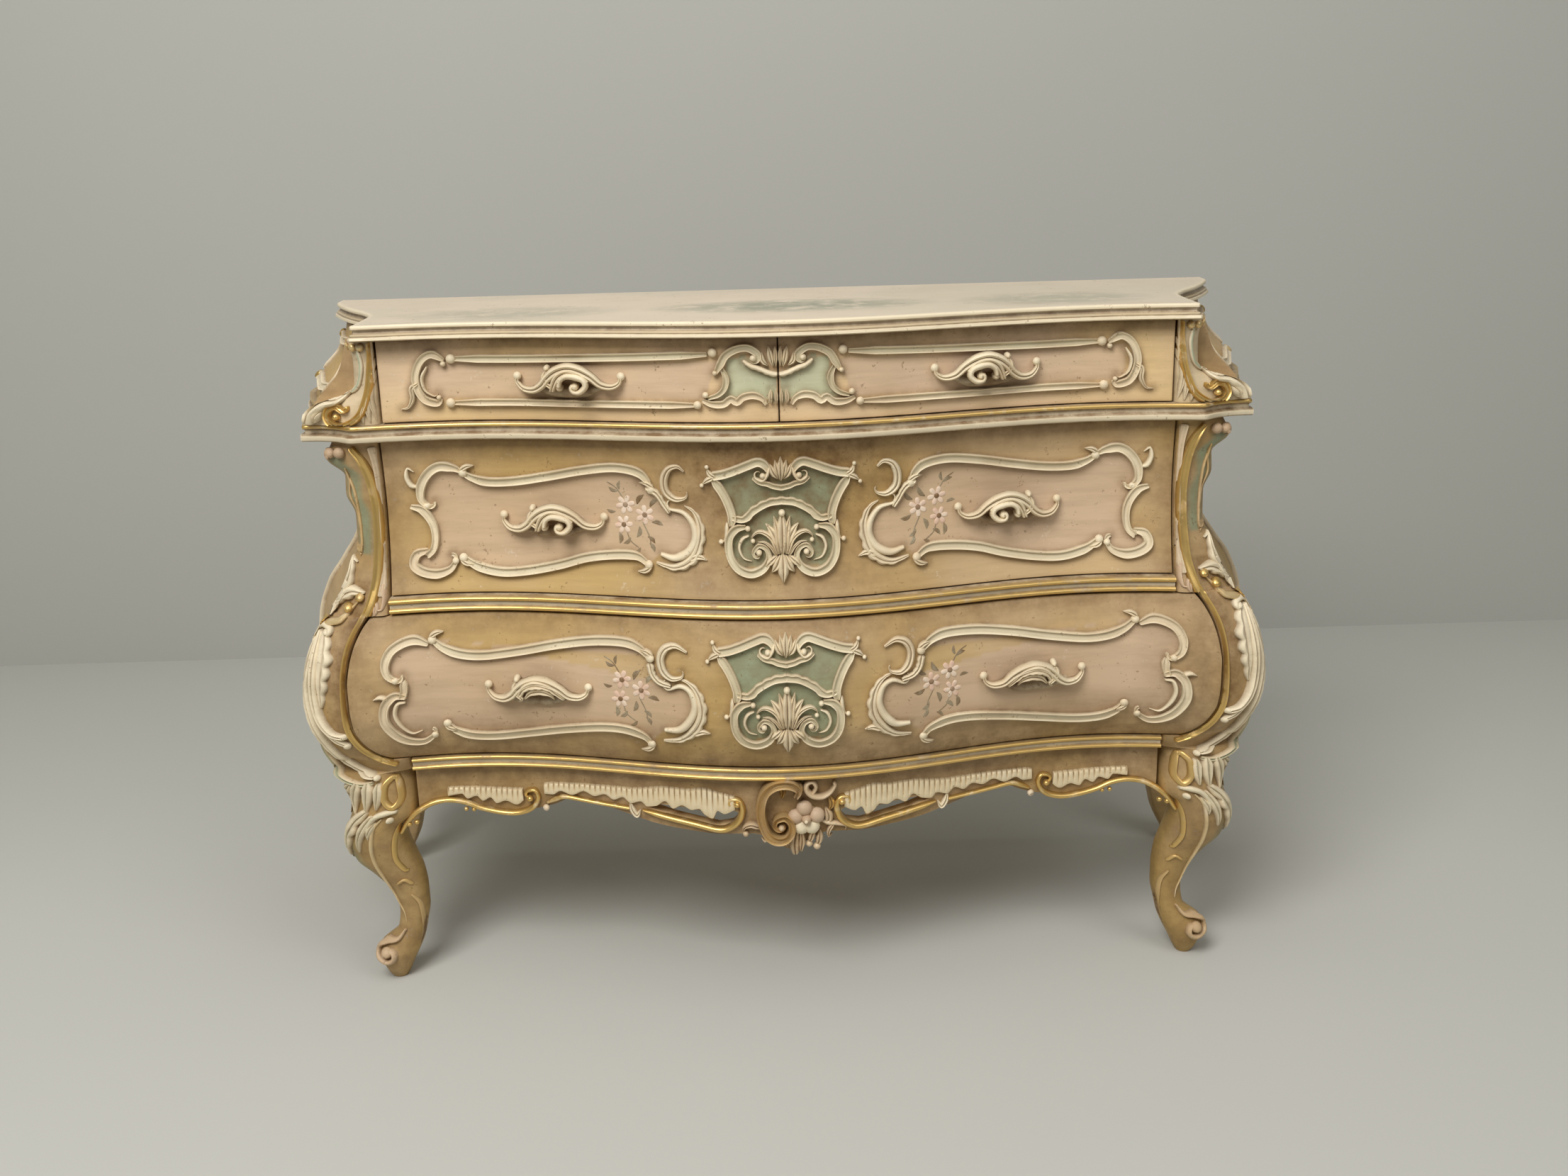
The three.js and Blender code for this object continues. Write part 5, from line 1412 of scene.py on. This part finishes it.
for word, side in SIDES:
    lofted(f"front_stile_{word}", stile_levels(), side, stile_masks, ground, [f"front_stile_leg_{word}"])


upper_post_share = smooth([
    (0, 0.71), (0.09, 0.701), (0.2, 0.637), (0.28, 0.524), (0.36, 0.32), (0.48, 0.252), (0.75, 0.242),
    (1, 0.283),
])


def upper_post_levels():
    front = float(upper_face(TOP_OPENING)) - PROUD
    levels = []
    for share in np.linspace(0, 1, 34):
        z = WAIST_TOP + SEAT + (TOP_LOW - WAIST_TOP - SEAT * 2) * share
        outer = float(outward(upper_post_share(share)))
        levels.append((z, post_ring(TOP_OPENING + SEAT, outer, front, STILE_DEEP, 0.55, 0.1)))
    return levels


for word, side in SIDES:
    lofted(f"corner_post_{word}", upper_post_levels(), side,
           lambda rows: {"glaze": 0.15, "cream": 0.6}, ground, [f"upper_post_{word}"])

REAR_WIDE, REAR_LEG_HIGH, REAR_LEG_SET = 45.0, 286, 6.75


def rear_levels():
    levels = []
    for z in [*np.arange(0, 284, 4.0), 285.5, 286.5, *np.arange(290, 735, 5.0), WAIST_LOW - SEAT]:
        leg = z < REAR_LEG_HIGH
        outer = float(outer_edge(z) if leg else outward(lower_side_share(z / WAIST_LOW))) + BODY_FLARE
        inner, front = outer - REAR_WIDE, BACK_Y - REAR_WIDE
        if leg:
            inner = float(outward(leg_share[0](z / LEG_HIGH))) + BODY_FLARE
            front += REAR_LEG_SET
        levels.append((z, post_ring(inner, outer, front, BACK_Y, 0.3, 0.1)))
    return levels


for word, side in SIDES:
    lofted(f"rear_stile_{word}", rear_levels(), side, lambda rows: {"glaze": 0.2}, ground,
           [f"rear_stile_leg_{word}"])

# %% [markdown]
# The posts carry the richest carving: gilded S-lines that follow the opening, a volute on the waist
# board, acanthus on the bulge and on the knee. The strokes are drawn in front view and dropped on
# the finished post by a ray, so they lie on its curved corner wherever they fall.

# %% Laying strokes on a finished piece
RAY_START = -1.0


def on_piece(piece, lean):
    """Strokes laid on any piece as seen from the front; heights go along the lean"""
    tree = BVHTree.FromObject(piece, bpy.context.evaluated_depsgraph_get())
    lean = np.array(lean) / np.linalg.norm(lean)
    forward = Vector((0.0, 1.0, 0.0))
    middle = float(np.mean([corner[1] for corner in piece.bound_box]))

    def surface(rings):
        flat = rings.reshape(-1, 3)
        spots = np.empty_like(flat)
        for i, (x, z, out) in enumerate(flat):
            hit = tree.ray_cast(Vector((x * MM, RAY_START, z * MM)), forward)[0]
            if hit is None:
                hit = tree.find_nearest(Vector((x * MM, middle, z * MM)))[0]
            spots[i] = np.array(hit) / MM - [0, SHIFT, 0] + lean * out
        return spots.reshape(rings.shape)
    return surface


def post_strokes(side):
    drawn, bud, turn = hand(side)
    gold = {"gilt": 1.0}
    return [
        stroke(coil(drawn([(491, 857), (491, 842), (493, 826), (496, 807), (502, 788), (510, 772),
                           (522, 762), (536, 757), (549, 761), (554, 770), (549, 779), (540, 781),
                           (533, 776)]),
                    5, 0.4, turn), 9, 8, "double", ((0, 0.8), (0.6, 1), (0.85, 1.1), (1, 0.5)), **gold),
        bud(541, 769, 4.2, 10, **gold),
        *leaves(drawn, (6, 5, (492, 812), (497, 790), (494, 762)),
                (7, 5, (496, 800), (502, 780), (501, 760)), (6, 5, (502, 788), (509, 772), (509, 759))),
        stroke(drawn([(580, 762), (574, 775), (558, 786), (540, 789), (523, 799)]), 19, 16,
               "leaf", ((0, 0.9), (0.4, 1), (0.8, 0.5), (1, 0.15)), frill=(turn, 3, 0.25), cream=1.0),
        stroke(drawn([(571, 761), (566, 770), (558, 777)]), 11, 13, "leaf", SPINDLE, cream=1.0),
        stroke(drawn([(509, 848), (506, 830), (512, 808), (524, 797)]), 6, 4, "round", green=0.8),
        bud(526, 852, 5, 8, gilt=0.7),
        bud(515, 852.5, 5, 8, gilt=0.7),
        bud(504, 853, 5, 8, gilt=0.7),
    ]


for word, side in SIDES:
    post = bpy.data.objects[f"corner_post_{word}"]
    carve(f"post_carving_{word}", post_strokes(side), on_piece(post, (0.4 * side, -1.0, 0.0)), carving,
          "carcass")

# %% [markdown]
# The stile below the waist has the same gilded S-line, which then runs on round the edge of the low
# drawer. Beside it lies a pale fluted strip, further out a sprig with gilded buds, then the great
# acanthus of the bulge, and on the leg the knee leaf, the framed face and the scrolled foot.

# %% Carving of the stiles and legs


def stile_strokes(side):
    drawn, bud, turn = hand(side)
    gold, pale = {"gilt": 1.0}, {"cream": 1.0}
    strand = ((0, 0.4), (0.3, 1), (0.8, 0.85), (1, 0.6))
    acanthus = [
        stroke(drawn([(592, 498), (605, 462), (613, 425), (608, 388), (595, 352), (575, 322), (553, 306),
                      (537, 300)]), 15, 11, "leaf", strand, frill=(-turn, 15, 0.35), **pale),
        stroke(drawn([(587, 498), (595, 457), (598, 420), (593, 390), (580, 370), (563, 364)]), 13, 12,
               "leaf", strand, **pale),
        stroke(drawn([(597, 412), (590, 384), (576, 362), (559, 351)]), 10, 10, "leaf", strand, **pale),
        stroke(drawn([(580, 496), (581, 470), (586, 438), (590, 404)]), 25, 9, "leaf",
               ((0, 0.6), (0.3, 1), (0.7, 0.7), (1, 0.2)), frill=(turn, 5, 0.5), **pale),
    ]
    return acanthus + [
        stroke(drawn([(530, 728), (519, 713), (511, 693), (507, 670), (505, 647), (505, 619), (507, 592),
                      (509, 570), (513, 551), (520, 530), (530, 512), (540, 496), (549, 475), (555, 448),
                      (558, 415), (558, 383), (554, 362), (543, 343), (525, 327), (506, 318)]),
               11.5, 5.5, shape=((0, 0.6), (0.05, 1), (0.5, 1), (0.7, 0.8), (1, 0.7)), **gold),
        stroke(drawn([(504, 728), (501, 704), (500, 674), (500, 646), (500, 617), (500, 590), (502, 563),
                      (506, 543)]), 7, 4, shape=((0, 1.3), (0.3, 0.9), (1, 1.1)), cream=0.5, rose=1.0),
        stroke(coil(drawn([(503, 556), (502, 540), (505, 528)]), 5, 0.5, -turn), 6, 5, "round", POINTED,
               rose=1.0),
        stroke(drawn([(516, 540), (513, 528), (517, 517)]), 8, 4, "leaf", SPINDLE, rose=1.0),
        stroke(drawn([(541, 692), (534, 669), (532, 639), (531, 617), (533, 596), (543, 597)]), 3.5, 3,
               "round"),
        stroke(drawn([(552, 692), (555, 668), (550, 640), (545, 615), (540, 597)]), 3.5, 3, "round"),
        stroke(drawn([(545, 588), (547, 568), (556, 549), (571, 532), (586, 522)]), 13, 10, "leaf",
               SPINDLE, frill=(turn, 4, 0.35), **pale),
        stroke(drawn([(561, 574), (566, 556), (576, 540)]), 10, 8, "leaf", SPINDLE, **pale),
        stroke(drawn([(528, 546), (545, 546), (562, 537), (585, 522)]), 17, 10, "leaf",
               ((0, 0.2), (0.3, 1), (1, 0.5)), frill=(turn, 4, 0.3), **pale),
        stroke(drawn([(598, 508), (586, 505), (572, 510), (559, 514), (548, 524), (534, 538)]), 9, 8,
               "round", POINTED, gilt=0.5, cream=0.6),
        bud(590, 515, 7, 13, **gold),
        *[bud(x, z, 7, 11, rose=1.0, glaze=0.25) for x, z in ((574, 720), (560, 721), (546, 722))],
        bud(549, 528, 6, 12, **gold),
        bud(533, 541, 5.5, 10, **gold),
        stroke(coil(drawn([(577, 494), (573, 503), (585, 506), (596, 498), (599, 484)]), 5, 0.1, turn),
               8, 9, "round", FULL, **pale),
        bud(577, 499, 4.2, 11, **pale),
        bud(563, 365, 4.2, 10, **pale),
        bud(561, 351, 4.2, 10, **pale),
        stroke(drawn([(604, 348), (601, 322), (582, 298), (558, 290), (540, 292)]), 12, 8, "leaf",
               ((0, 0.4), (0.4, 1), (1, 0.5)), green=0.8, cream=0.6),
        bud(533, 299, 4.0, 9, **pale),
        stroke(coil(drawn([(510, 298), (507, 286), (506, 268), (516, 258), (526, 268), (525, 287),
                           (516, 296)]), 5, 0.5, -turn), 8, 7, "round", FULL, gilt=0.8),
    ]


def leg_strokes(side):
    drawn, bud, turn = hand(side)
    pale = {"cream": 0.9, "green": 0.25}
    return [
        *leaves(drawn, (15, 10, (532, 290), (533, 274), (538, 256)),
                (17, 10, (546, 292), (548, 272), (552, 252)),
                (16, 10, (560, 292), (566, 272), (568, 248)),
                (14, 9, (572, 288), (582, 270), (582, 246)), shape=POINTED, **pale),
        stroke(coil(drawn([(512, 252), (524, 252), (539, 247), (549, 235), (551, 218)]), 5, 0.1, -turn),
               8, 9, "round", POINTED, **pale),
        bud(520, 242, 4.2, 10, **pale),
        stroke(drawn([(552, 252), (566, 240), (578, 221), (582, 202), (582, 180)]), 18, 10, "leaf",
               ((0, 0.6), (0.4, 1), (1, 0.15)), frill=(turn, 4, 0.35), **pale),
        stroke(drawn([(545, 246), (556, 232), (564, 214), (566, 196)]), 13, 9, "leaf",
               ((0, 0.6), (0.4, 1), (1, 0.15)), **pale),
        stroke(drawn([(540, 240), (548, 228), (552, 216)]), 8, 7, "leaf", SPINDLE, **pale),
        stroke(drawn([(532, 244), (543, 232), (548, 214), (550, 192), (547, 168), (539, 142), (528, 112),
                      (521, 97), (519, 84)]), 5, 4.5, "round", POINTED, gilt=0.4, cream=0.7),
        stroke(coil(drawn([(511, 232), (519, 214), (522, 196), (521, 178), (513, 162)]), 5, 0.2, turn),
               5.5, 4.5, "round", FULL, gilt=0.9),
        stroke(drawn([(525, 141), (515, 147), (505, 139)]), 4.5, 4, "round", FULL, gilt=0.5),
        stroke(drawn([(508, 124), (499, 110), (497, 88), (499, 66), (506, 46)]), 5, 4, "round",
               POINTED, gilt=0.5, rose=0.8),
        stroke(coil(drawn([(520, 74), (530, 62), (545, 59), (559, 52), (560, 38), (548, 31)]), 11, 0.7,
                    turn), 10, 10, "round", ((0, 0.3), (0.4, 1), (1, 0.6)), rose=0.7),
        bud(545, 45, 7, 12, rose=0.7),
    ]


for word, side in SIDES:
    stile = on_piece(bpy.data.objects[f"front_stile_{word}"], (0.45 * side, -1.0, 0.0))
    carve(f"stile_carving_{word}", stile_strokes(side), stile, ground, "carcass")
    carve(f"leg_carving_{word}", leg_strokes(side), stile, ground, "carcass")

# %% [markdown]
# The apron hangs under the bottom rail. Its lower edge is scalloped, and beside the crest two slots
# are pierced through it, cut here with a Boolean modifier from a thin block of the slot's outline.

# %% Apron
APRON_DROP, APRON_SET, APRON_THICK = 100.0, 3.0, 20.0


def apron_face(x, z=LEG_HIGH):
    """The same at every height: the apron hangs straight down"""
    return lower_face(x, LEG_HIGH) + APRON_SET


def apron_low(x):
    return LEG_HIGH - APRON_DROP * apron_drop(np.abs(x) / APRON_HALF)


def apron_board():
    xs = np.linspace(-APRON_HALF, APRON_HALF, 240)
    ups = np.linspace(0, 1, 14)
    ring = np.concatenate([ups, [1, 0.5, 0], ups[:1]])
    x, up = np.meshgrid(xs, ring, indexing="ij")
    low = apron_low(x)
    z = low + (LEG_HIGH - low) * up
    y = apron_face(x)
    y[:, len(ups):-1] += APRON_THICK
    rows = closed(np.stack([x, y, z], axis=-1), 1,
                  lambda cap, end: apron_face(cap[:, 0]) + APRON_THICK / 2)
    return woven("apron_board", rows, {"glaze": 0.6})


apron = apron_board()
CUT_FROM, CUT_THROUGH = -SWELL * 2, 0.2         # millimetres, and metres for the extrusion
SLOT = [(60, 254), (78, 262), (110, 256), (132, 260), (172, 262), (184, 257), (150, 247), (118, 241),
        (90, 236), (72, 240)]
for side in (1, -1):
    deselect()
    bpy.ops.mesh.primitive_circle_add(vertices=len(SLOT), radius=1.0, fill_type="NGON")
    cutter = bpy.context.active_object
    turned = SLOT if side > 0 else SLOT[::-1]
    corners = placed([(side * x, CUT_FROM, z) for x, z in turned])
    cutter.data.vertices.foreach_set("co", corners.ravel())
    bpy.ops.object.mode_set(mode="EDIT")
    bpy.ops.mesh.select_all(action="SELECT")
    bpy.ops.mesh.extrude_region_move(TRANSFORM_OT_translate={"value": (0.0, CUT_THROUGH, 0.0)})
    bpy.ops.mesh.select_all(action="SELECT")
    bpy.ops.mesh.normals_make_consistent(inside=False)
    bpy.ops.object.mode_set(mode="OBJECT")
    cut = apron.modifiers.new("slot", "BOOLEAN")
    cut.operation, cut.solver, cut.object = "DIFFERENCE", "EXACT", cutter
    bpy.context.view_layer.objects.active = apron
    bpy.ops.object.modifier_apply(modifier="slot")
    bpy.data.objects.remove(cutter)
finished(apron, ground, "carcass", ["apron"], 50)

# %% [markdown]
# Along the apron runs a cream gadroon: a band of short flutes with a scalloped lower edge, like a
# fringe. It is one ribbon between an upper and a lower line, and a formula cuts the grooves between
# the flutes. Below it a gilded bead follows the edge and rolls up into volutes.

# %% Gadroon and gilded bead of the apron
FLUTE_PITCH, FLUTE_HIGH = 7.0, 6.0
FLUTE_PROFILE = np.array([0, 0.8, 0.95, 1, 1, 1, 1, 1, 0.95, 0.8, 0])


def fluted(first, last, upper, lower, side, **tint):
    """A fringe of flutes between two lines, as one ribbon that runs along the apron"""
    xs = np.arange(first, last, 1.0)
    down = np.concatenate([np.linspace(0, 1, TOP_COUNT), [0.75, 0.5, 0.25, 0]])
    high, low = upper(xs) - 1.5, lower(xs)
    z = high[:, None] + (low - high)[:, None] * down
    groove = np.abs(np.cos(np.pi * xs / FLUTE_PITCH)) ** 16
    cut = groove[:, None] * 0.9 * np.linspace(1.0, 0.0, TOP_COUNT) ** 1.7
    out, stain = np.full(z.shape, -SUNK), np.ones(z.shape)
    out[:, 1:TOP_COUNT - 1] = (FLUTE_HIGH * FLUTE_PROFILE * (1 - cut))[:, 1:-1]
    stain[:, :TOP_COUNT] = cut * 0.9
    stain[:, [0, TOP_COUNT - 1]] = 0.7
    rings = np.stack([np.broadcast_to(side * xs[:, None], z.shape), z, out], axis=2)
    poles = [np.tile([*rings[end].mean(axis=0)[:2], -SUNK], (RING_COUNT, 1)) for end in (0, -1)]
    rings = capped(rings, poles)
    return {"rings": rings, "line": rings[:, 0, :2], "glaze": capped(stain, stain[[0, -1]]), **tint}


def apron_strokes(side):
    drawn, bud, turn = hand(side)
    gold, pale = {"gilt": 1.0}, {"cream": 1.0}
    upper = smooth([(70, 282), (90, 287), (110, 292), (130, 289), (157, 290), (205, 284), (240, 284),
                    (310, 283), (350, 273), (382, 274), (416, 276), (447, 277)])
    lower = smooth([(70, 260), (84, 253), (92, 257), (99, 245), (109, 250), (116, 258), (126, 256),
                    (138, 262), (150, 256), (160, 266), (172, 258), (184, 256), (192, 263), (206, 259),
                    (216, 267), (228, 262), (240, 269), (254, 265), (268, 271), (284, 264), (299, 269),
                    (310, 263), (330, 264), (344, 258), (360, 246), (374, 252), (386, 248), (394, 257),
                    (404, 252), (412, 260), (424, 256), (431, 264), (447, 262)])
    return [
        *[fluted(first, last, upper, lower, side, gilt=0.22, **pale)
          for first, last in ((70, 322), (350, 450))],
        stroke(coil(drawn([(513, 216), (502, 233), (487, 246), (468, 255), (448, 257), (428, 253),
                           (408, 244), (385, 238), (364, 236), (346, 240), (335, 248), (330, 260),
                           (334, 269), (343, 268)]), 6, 0.4, turn), 8, 8, "round",
               ((0, 0.6), (0.1, 1), (0.8, 1), (1, 0.6)), **gold),
        bud(341, 258, 4.5, 11, **gold),
        stroke(drawn([(318, 252), (306, 258), (293, 262), (267, 259), (241, 256), (208, 253)]), 7, 7,
               "round", ((0, 0.5), (0.1, 1), (1, 0.8)), **gold),
        bud(320, 245, 4.5, 8, rose=0.6),
        bud(502, 227, 3.6, 7, **gold),
        bud(492, 229, 3.6, 7, **gold),
        bud(427, 243, 3.2, 7, **gold),
        bud(417, 242, 3.2, 7, **gold),
        stroke(drawn([(206, 262), (204, 252), (198, 244), (193, 252)]), 9, 7, "leaf", SPINDLE, **pale),
        stroke(coil(drawn([(190, 252), (156, 245), (123, 239), (92, 233), (76, 237), (65, 247),
                           (60, 262), (64, 274), (72, 276)]), 6, 0.45, turn), 8, 8, "round",
               ((0, 0.4), (0.1, 1), (0.8, 1.1), (1, 0.6)), **gold),
        bud(67, 270, 4.5, 12, **gold),
    ]


on_apron = front_surface(apron_face)
for word, side in SIDES:
    carve(f"apron_carving_{word}", apron_strokes(side), on_apron, carving, "carcass")

# %% [markdown]
# The crest in the middle is the deepest carving: a C-scroll with a spiral, a small cup scroll, a
# five-petalled flower with a button, and hanging buds and curls. It is not symmetrical, which is
# what makes it rococo, so it is drawn whole.

# %% Crest
CREST_FLOWER, PETAL_REACH = (21.0, 252.0), 13.5
PETALS, PALE_PETALS = (100, 172, 240, 300, 12), (240, 300)


def crest_strokes():
    worn = {"rose": 0.9, "cream": 0.3, "gilt": 0.15}
    gold = {"gilt": 0.8}
    strokes = [
        stroke(coil([(8, 282), (12, 292), (4, 300), (-6, 302), (-18, 300), (-29, 292), (-35, 279),
                     (-37, 262), (-34, 245), (-27, 231), (-16, 225), (-5, 227), (2, 236), (1, 248),
                     (-6, 255), (-15, 253)], 9, 0.8, 1), 12, 15, "double",
               ((0, 0.5), (0.1, 1), (0.6, 1.05), (0.85, 0.6), (1, 0.35)), lift=6, gilt=0.55,
               rose=0.5),
        ball(-11, 241, 4.5, 20, **worn),
        stroke([(-10, 280), (-8, 290), (-15, 296), (-24, 293)], 8, 12, "leaf", POINTED, **gold),
        stroke([(10, 282), (14, 294), (4, 301), (-4, 300)], 9, 14, "leaf", POINTED, gilt=0.3),
        stroke(coil([(30, 284), (34, 292), (30, 300), (23, 298), (22, 289), (30, 281), (42, 279),
                     (52, 284), (58, 292)], 5, 0.25, 1), 8, 13, "round",
               ((0, 0.6), (0.5, 1.1), (1, 0.6)), **worn),
        stroke([(-38, 238), (-50, 242), (-59, 237), (-58, 229)], 9, 10, "leaf", POINTED, **worn),
        ball(-57, 229, 4, 8, **worn),
        stroke([(-26, 232), (-28, 224), (-33, 219), (-37, 223)], 7, 9, "round", POINTED, **worn),
        stroke([(30, 236), (27, 224), (23, 215)], 9, 11, "leaf", SPINDLE, **worn),
        stroke([(38, 232), (37, 220), (33, 211)], 10, 11, "leaf", SPINDLE, **worn),
        ball(24, 215, 4.5, 10, **worn),
        ball(34, 211, 5, 10, **worn),
        stroke(coil([(40, 246), (50, 242), (60, 240), (70, 236)], 5, 0.3, -1), 7, 9, "round", POINTED,
               **worn),
        stroke([(56, 241), (50, 232), (49, 223), (54, 225)], 7, 9, "leaf", POINTED, **worn),
        stroke([(46, 262), (50, 250), (46, 238)], 12, 9, "leaf", SPINDLE, **worn),
        stroke([(50, 280), (54, 268), (50, 258)], 9, 9, "leaf", SPINDLE, **gold),
        stroke([(8, 234), (5, 218), (6, 203)], 14, 13, "leaf", ((0, 0.6), (0.6, 1), (1, 0.7)),
               **worn),
        stroke([(14, 232), (15, 220), (13, 206)], 10, 13, "leaf", ((0, 0.6), (0.6, 1), (1, 0.5)),
               **worn),
        stroke([(0, 232), (-4, 220), (-2, 208)], 9, 10, "leaf", SPINDLE, **worn),
        ball(CREST_FLOWER[0], CREST_FLOWER[1], 17, 12, glaze=0.5),
    ]
    for turn in PETALS:
        angle = math.radians(turn)
        x = CREST_FLOWER[0] + PETAL_REACH * math.cos(angle)
        z = CREST_FLOWER[1] + PETAL_REACH * math.sin(angle)
        strokes.append(ball(x, z, 10.5, 17, **{"cream" if turn in PALE_PETALS else "rose": 1.0}))
    strokes.append(ball(CREST_FLOWER[0], CREST_FLOWER[1], 6.5, 23, rose=0.7))
    strokes.append(ball(CREST_FLOWER[0] - 0.5, CREST_FLOWER[1], 3.5, 26, cream=1.0))
    return strokes


carve("crest", crest_strokes(), on_apron, gilding, "carcass", ["apron_crest"])

# %% [markdown]
# Floor, backdrop and light. The floor and the wall are pale and plain. Three soft lamps and a dim
# world light the chest, at a level at which a colour renders about as it is written. The backdrop is
# one-sided: from behind it is clear, so the back of the chest can be looked at too.

# %% Floor, backdrop and lamps


def stage_paint(name, tone, one_sided=False):
    paint = Paint(name, "")
    cloud = paint.noise(paint.where(), 1.3, 3.0)
    plaster = colour(tone, tone * 0.99, tone * 0.9)
    dusty = colour(tone * 0.9, tone * 0.89, tone * 0.8)
    base = paint.mix(0.25 * cloud, plaster, dusty)
    plain = paint.add("ShaderNodeBsdfDiffuse", None, {"Color": base})
    if one_sided:
        behind = paint.add("ShaderNodeNewGeometry", out=BACKFACING)
        clear = paint.add("ShaderNodeBsdfTransparent")
        plain = paint.add("ShaderNodeMixShader", None, {0: behind, 1: plain, 2: clear})
    paint.add("ShaderNodeOutputMaterial", None, {"Surface": plain})
    return paint


STAGE_SIZE, WALL_Y, WALL_MIDDLE, FLOOR_TONE, WALL_TONE = 14.0, 1.3, 6.9, 0.55, 0.5

deselect()
bpy.ops.mesh.primitive_plane_add(size=STAGE_SIZE, location=(0.0, 0.0, 0.0))
floor = bpy.context.active_object
floor.name = "floor"
floor.data.materials.append(stage_paint("pale_floor", FLOOR_TONE).material)

deselect()
bpy.ops.mesh.primitive_plane_add(size=STAGE_SIZE, location=(0.0, WALL_Y, WALL_MIDDLE),
                                 rotation=(math.pi / 2, 0.0, 0.0))
wall = bpy.context.active_object
wall.name = "backdrop"
wall.data.materials.append(stage_paint("pale_backdrop", WALL_TONE, one_sided=True).material)


LAMP_AIM, WORLD_LIGHT = (0.0, 0.0, 0.5), 0.09


def lamp(name, at, size, power):
    deselect()
    bpy.ops.object.light_add(type="AREA", location=at)
    light = bpy.context.active_object
    light.name = name
    light.data.size = size
    light.data.energy = power
    light.rotation_euler = (Vector(LAMP_AIM) - Vector(at)).to_track_quat("-Z", "Y").to_euler()


lamp("overhead", (0.0, -0.7, 3.4), 2.4, 30.0)
lamp("key", (-1.2, -2.5, 3.3), 1.8, 118.0)
lamp("fill", (2.2, -2.4, 2.8), 2.0, 26.0)

world = bpy.data.worlds.new("soft_world")
bpy.context.scene.world = world
world.use_nodes = True
sky = world.node_tree.nodes["Background"]
sky.inputs["Color"].default_value = colour(1.0, 1.0, 1.0)
sky.inputs["Strength"].default_value = WORLD_LIGHT
bpy.context.scene.view_settings.view_transform = "Standard"
print("three lamps and a dim world")
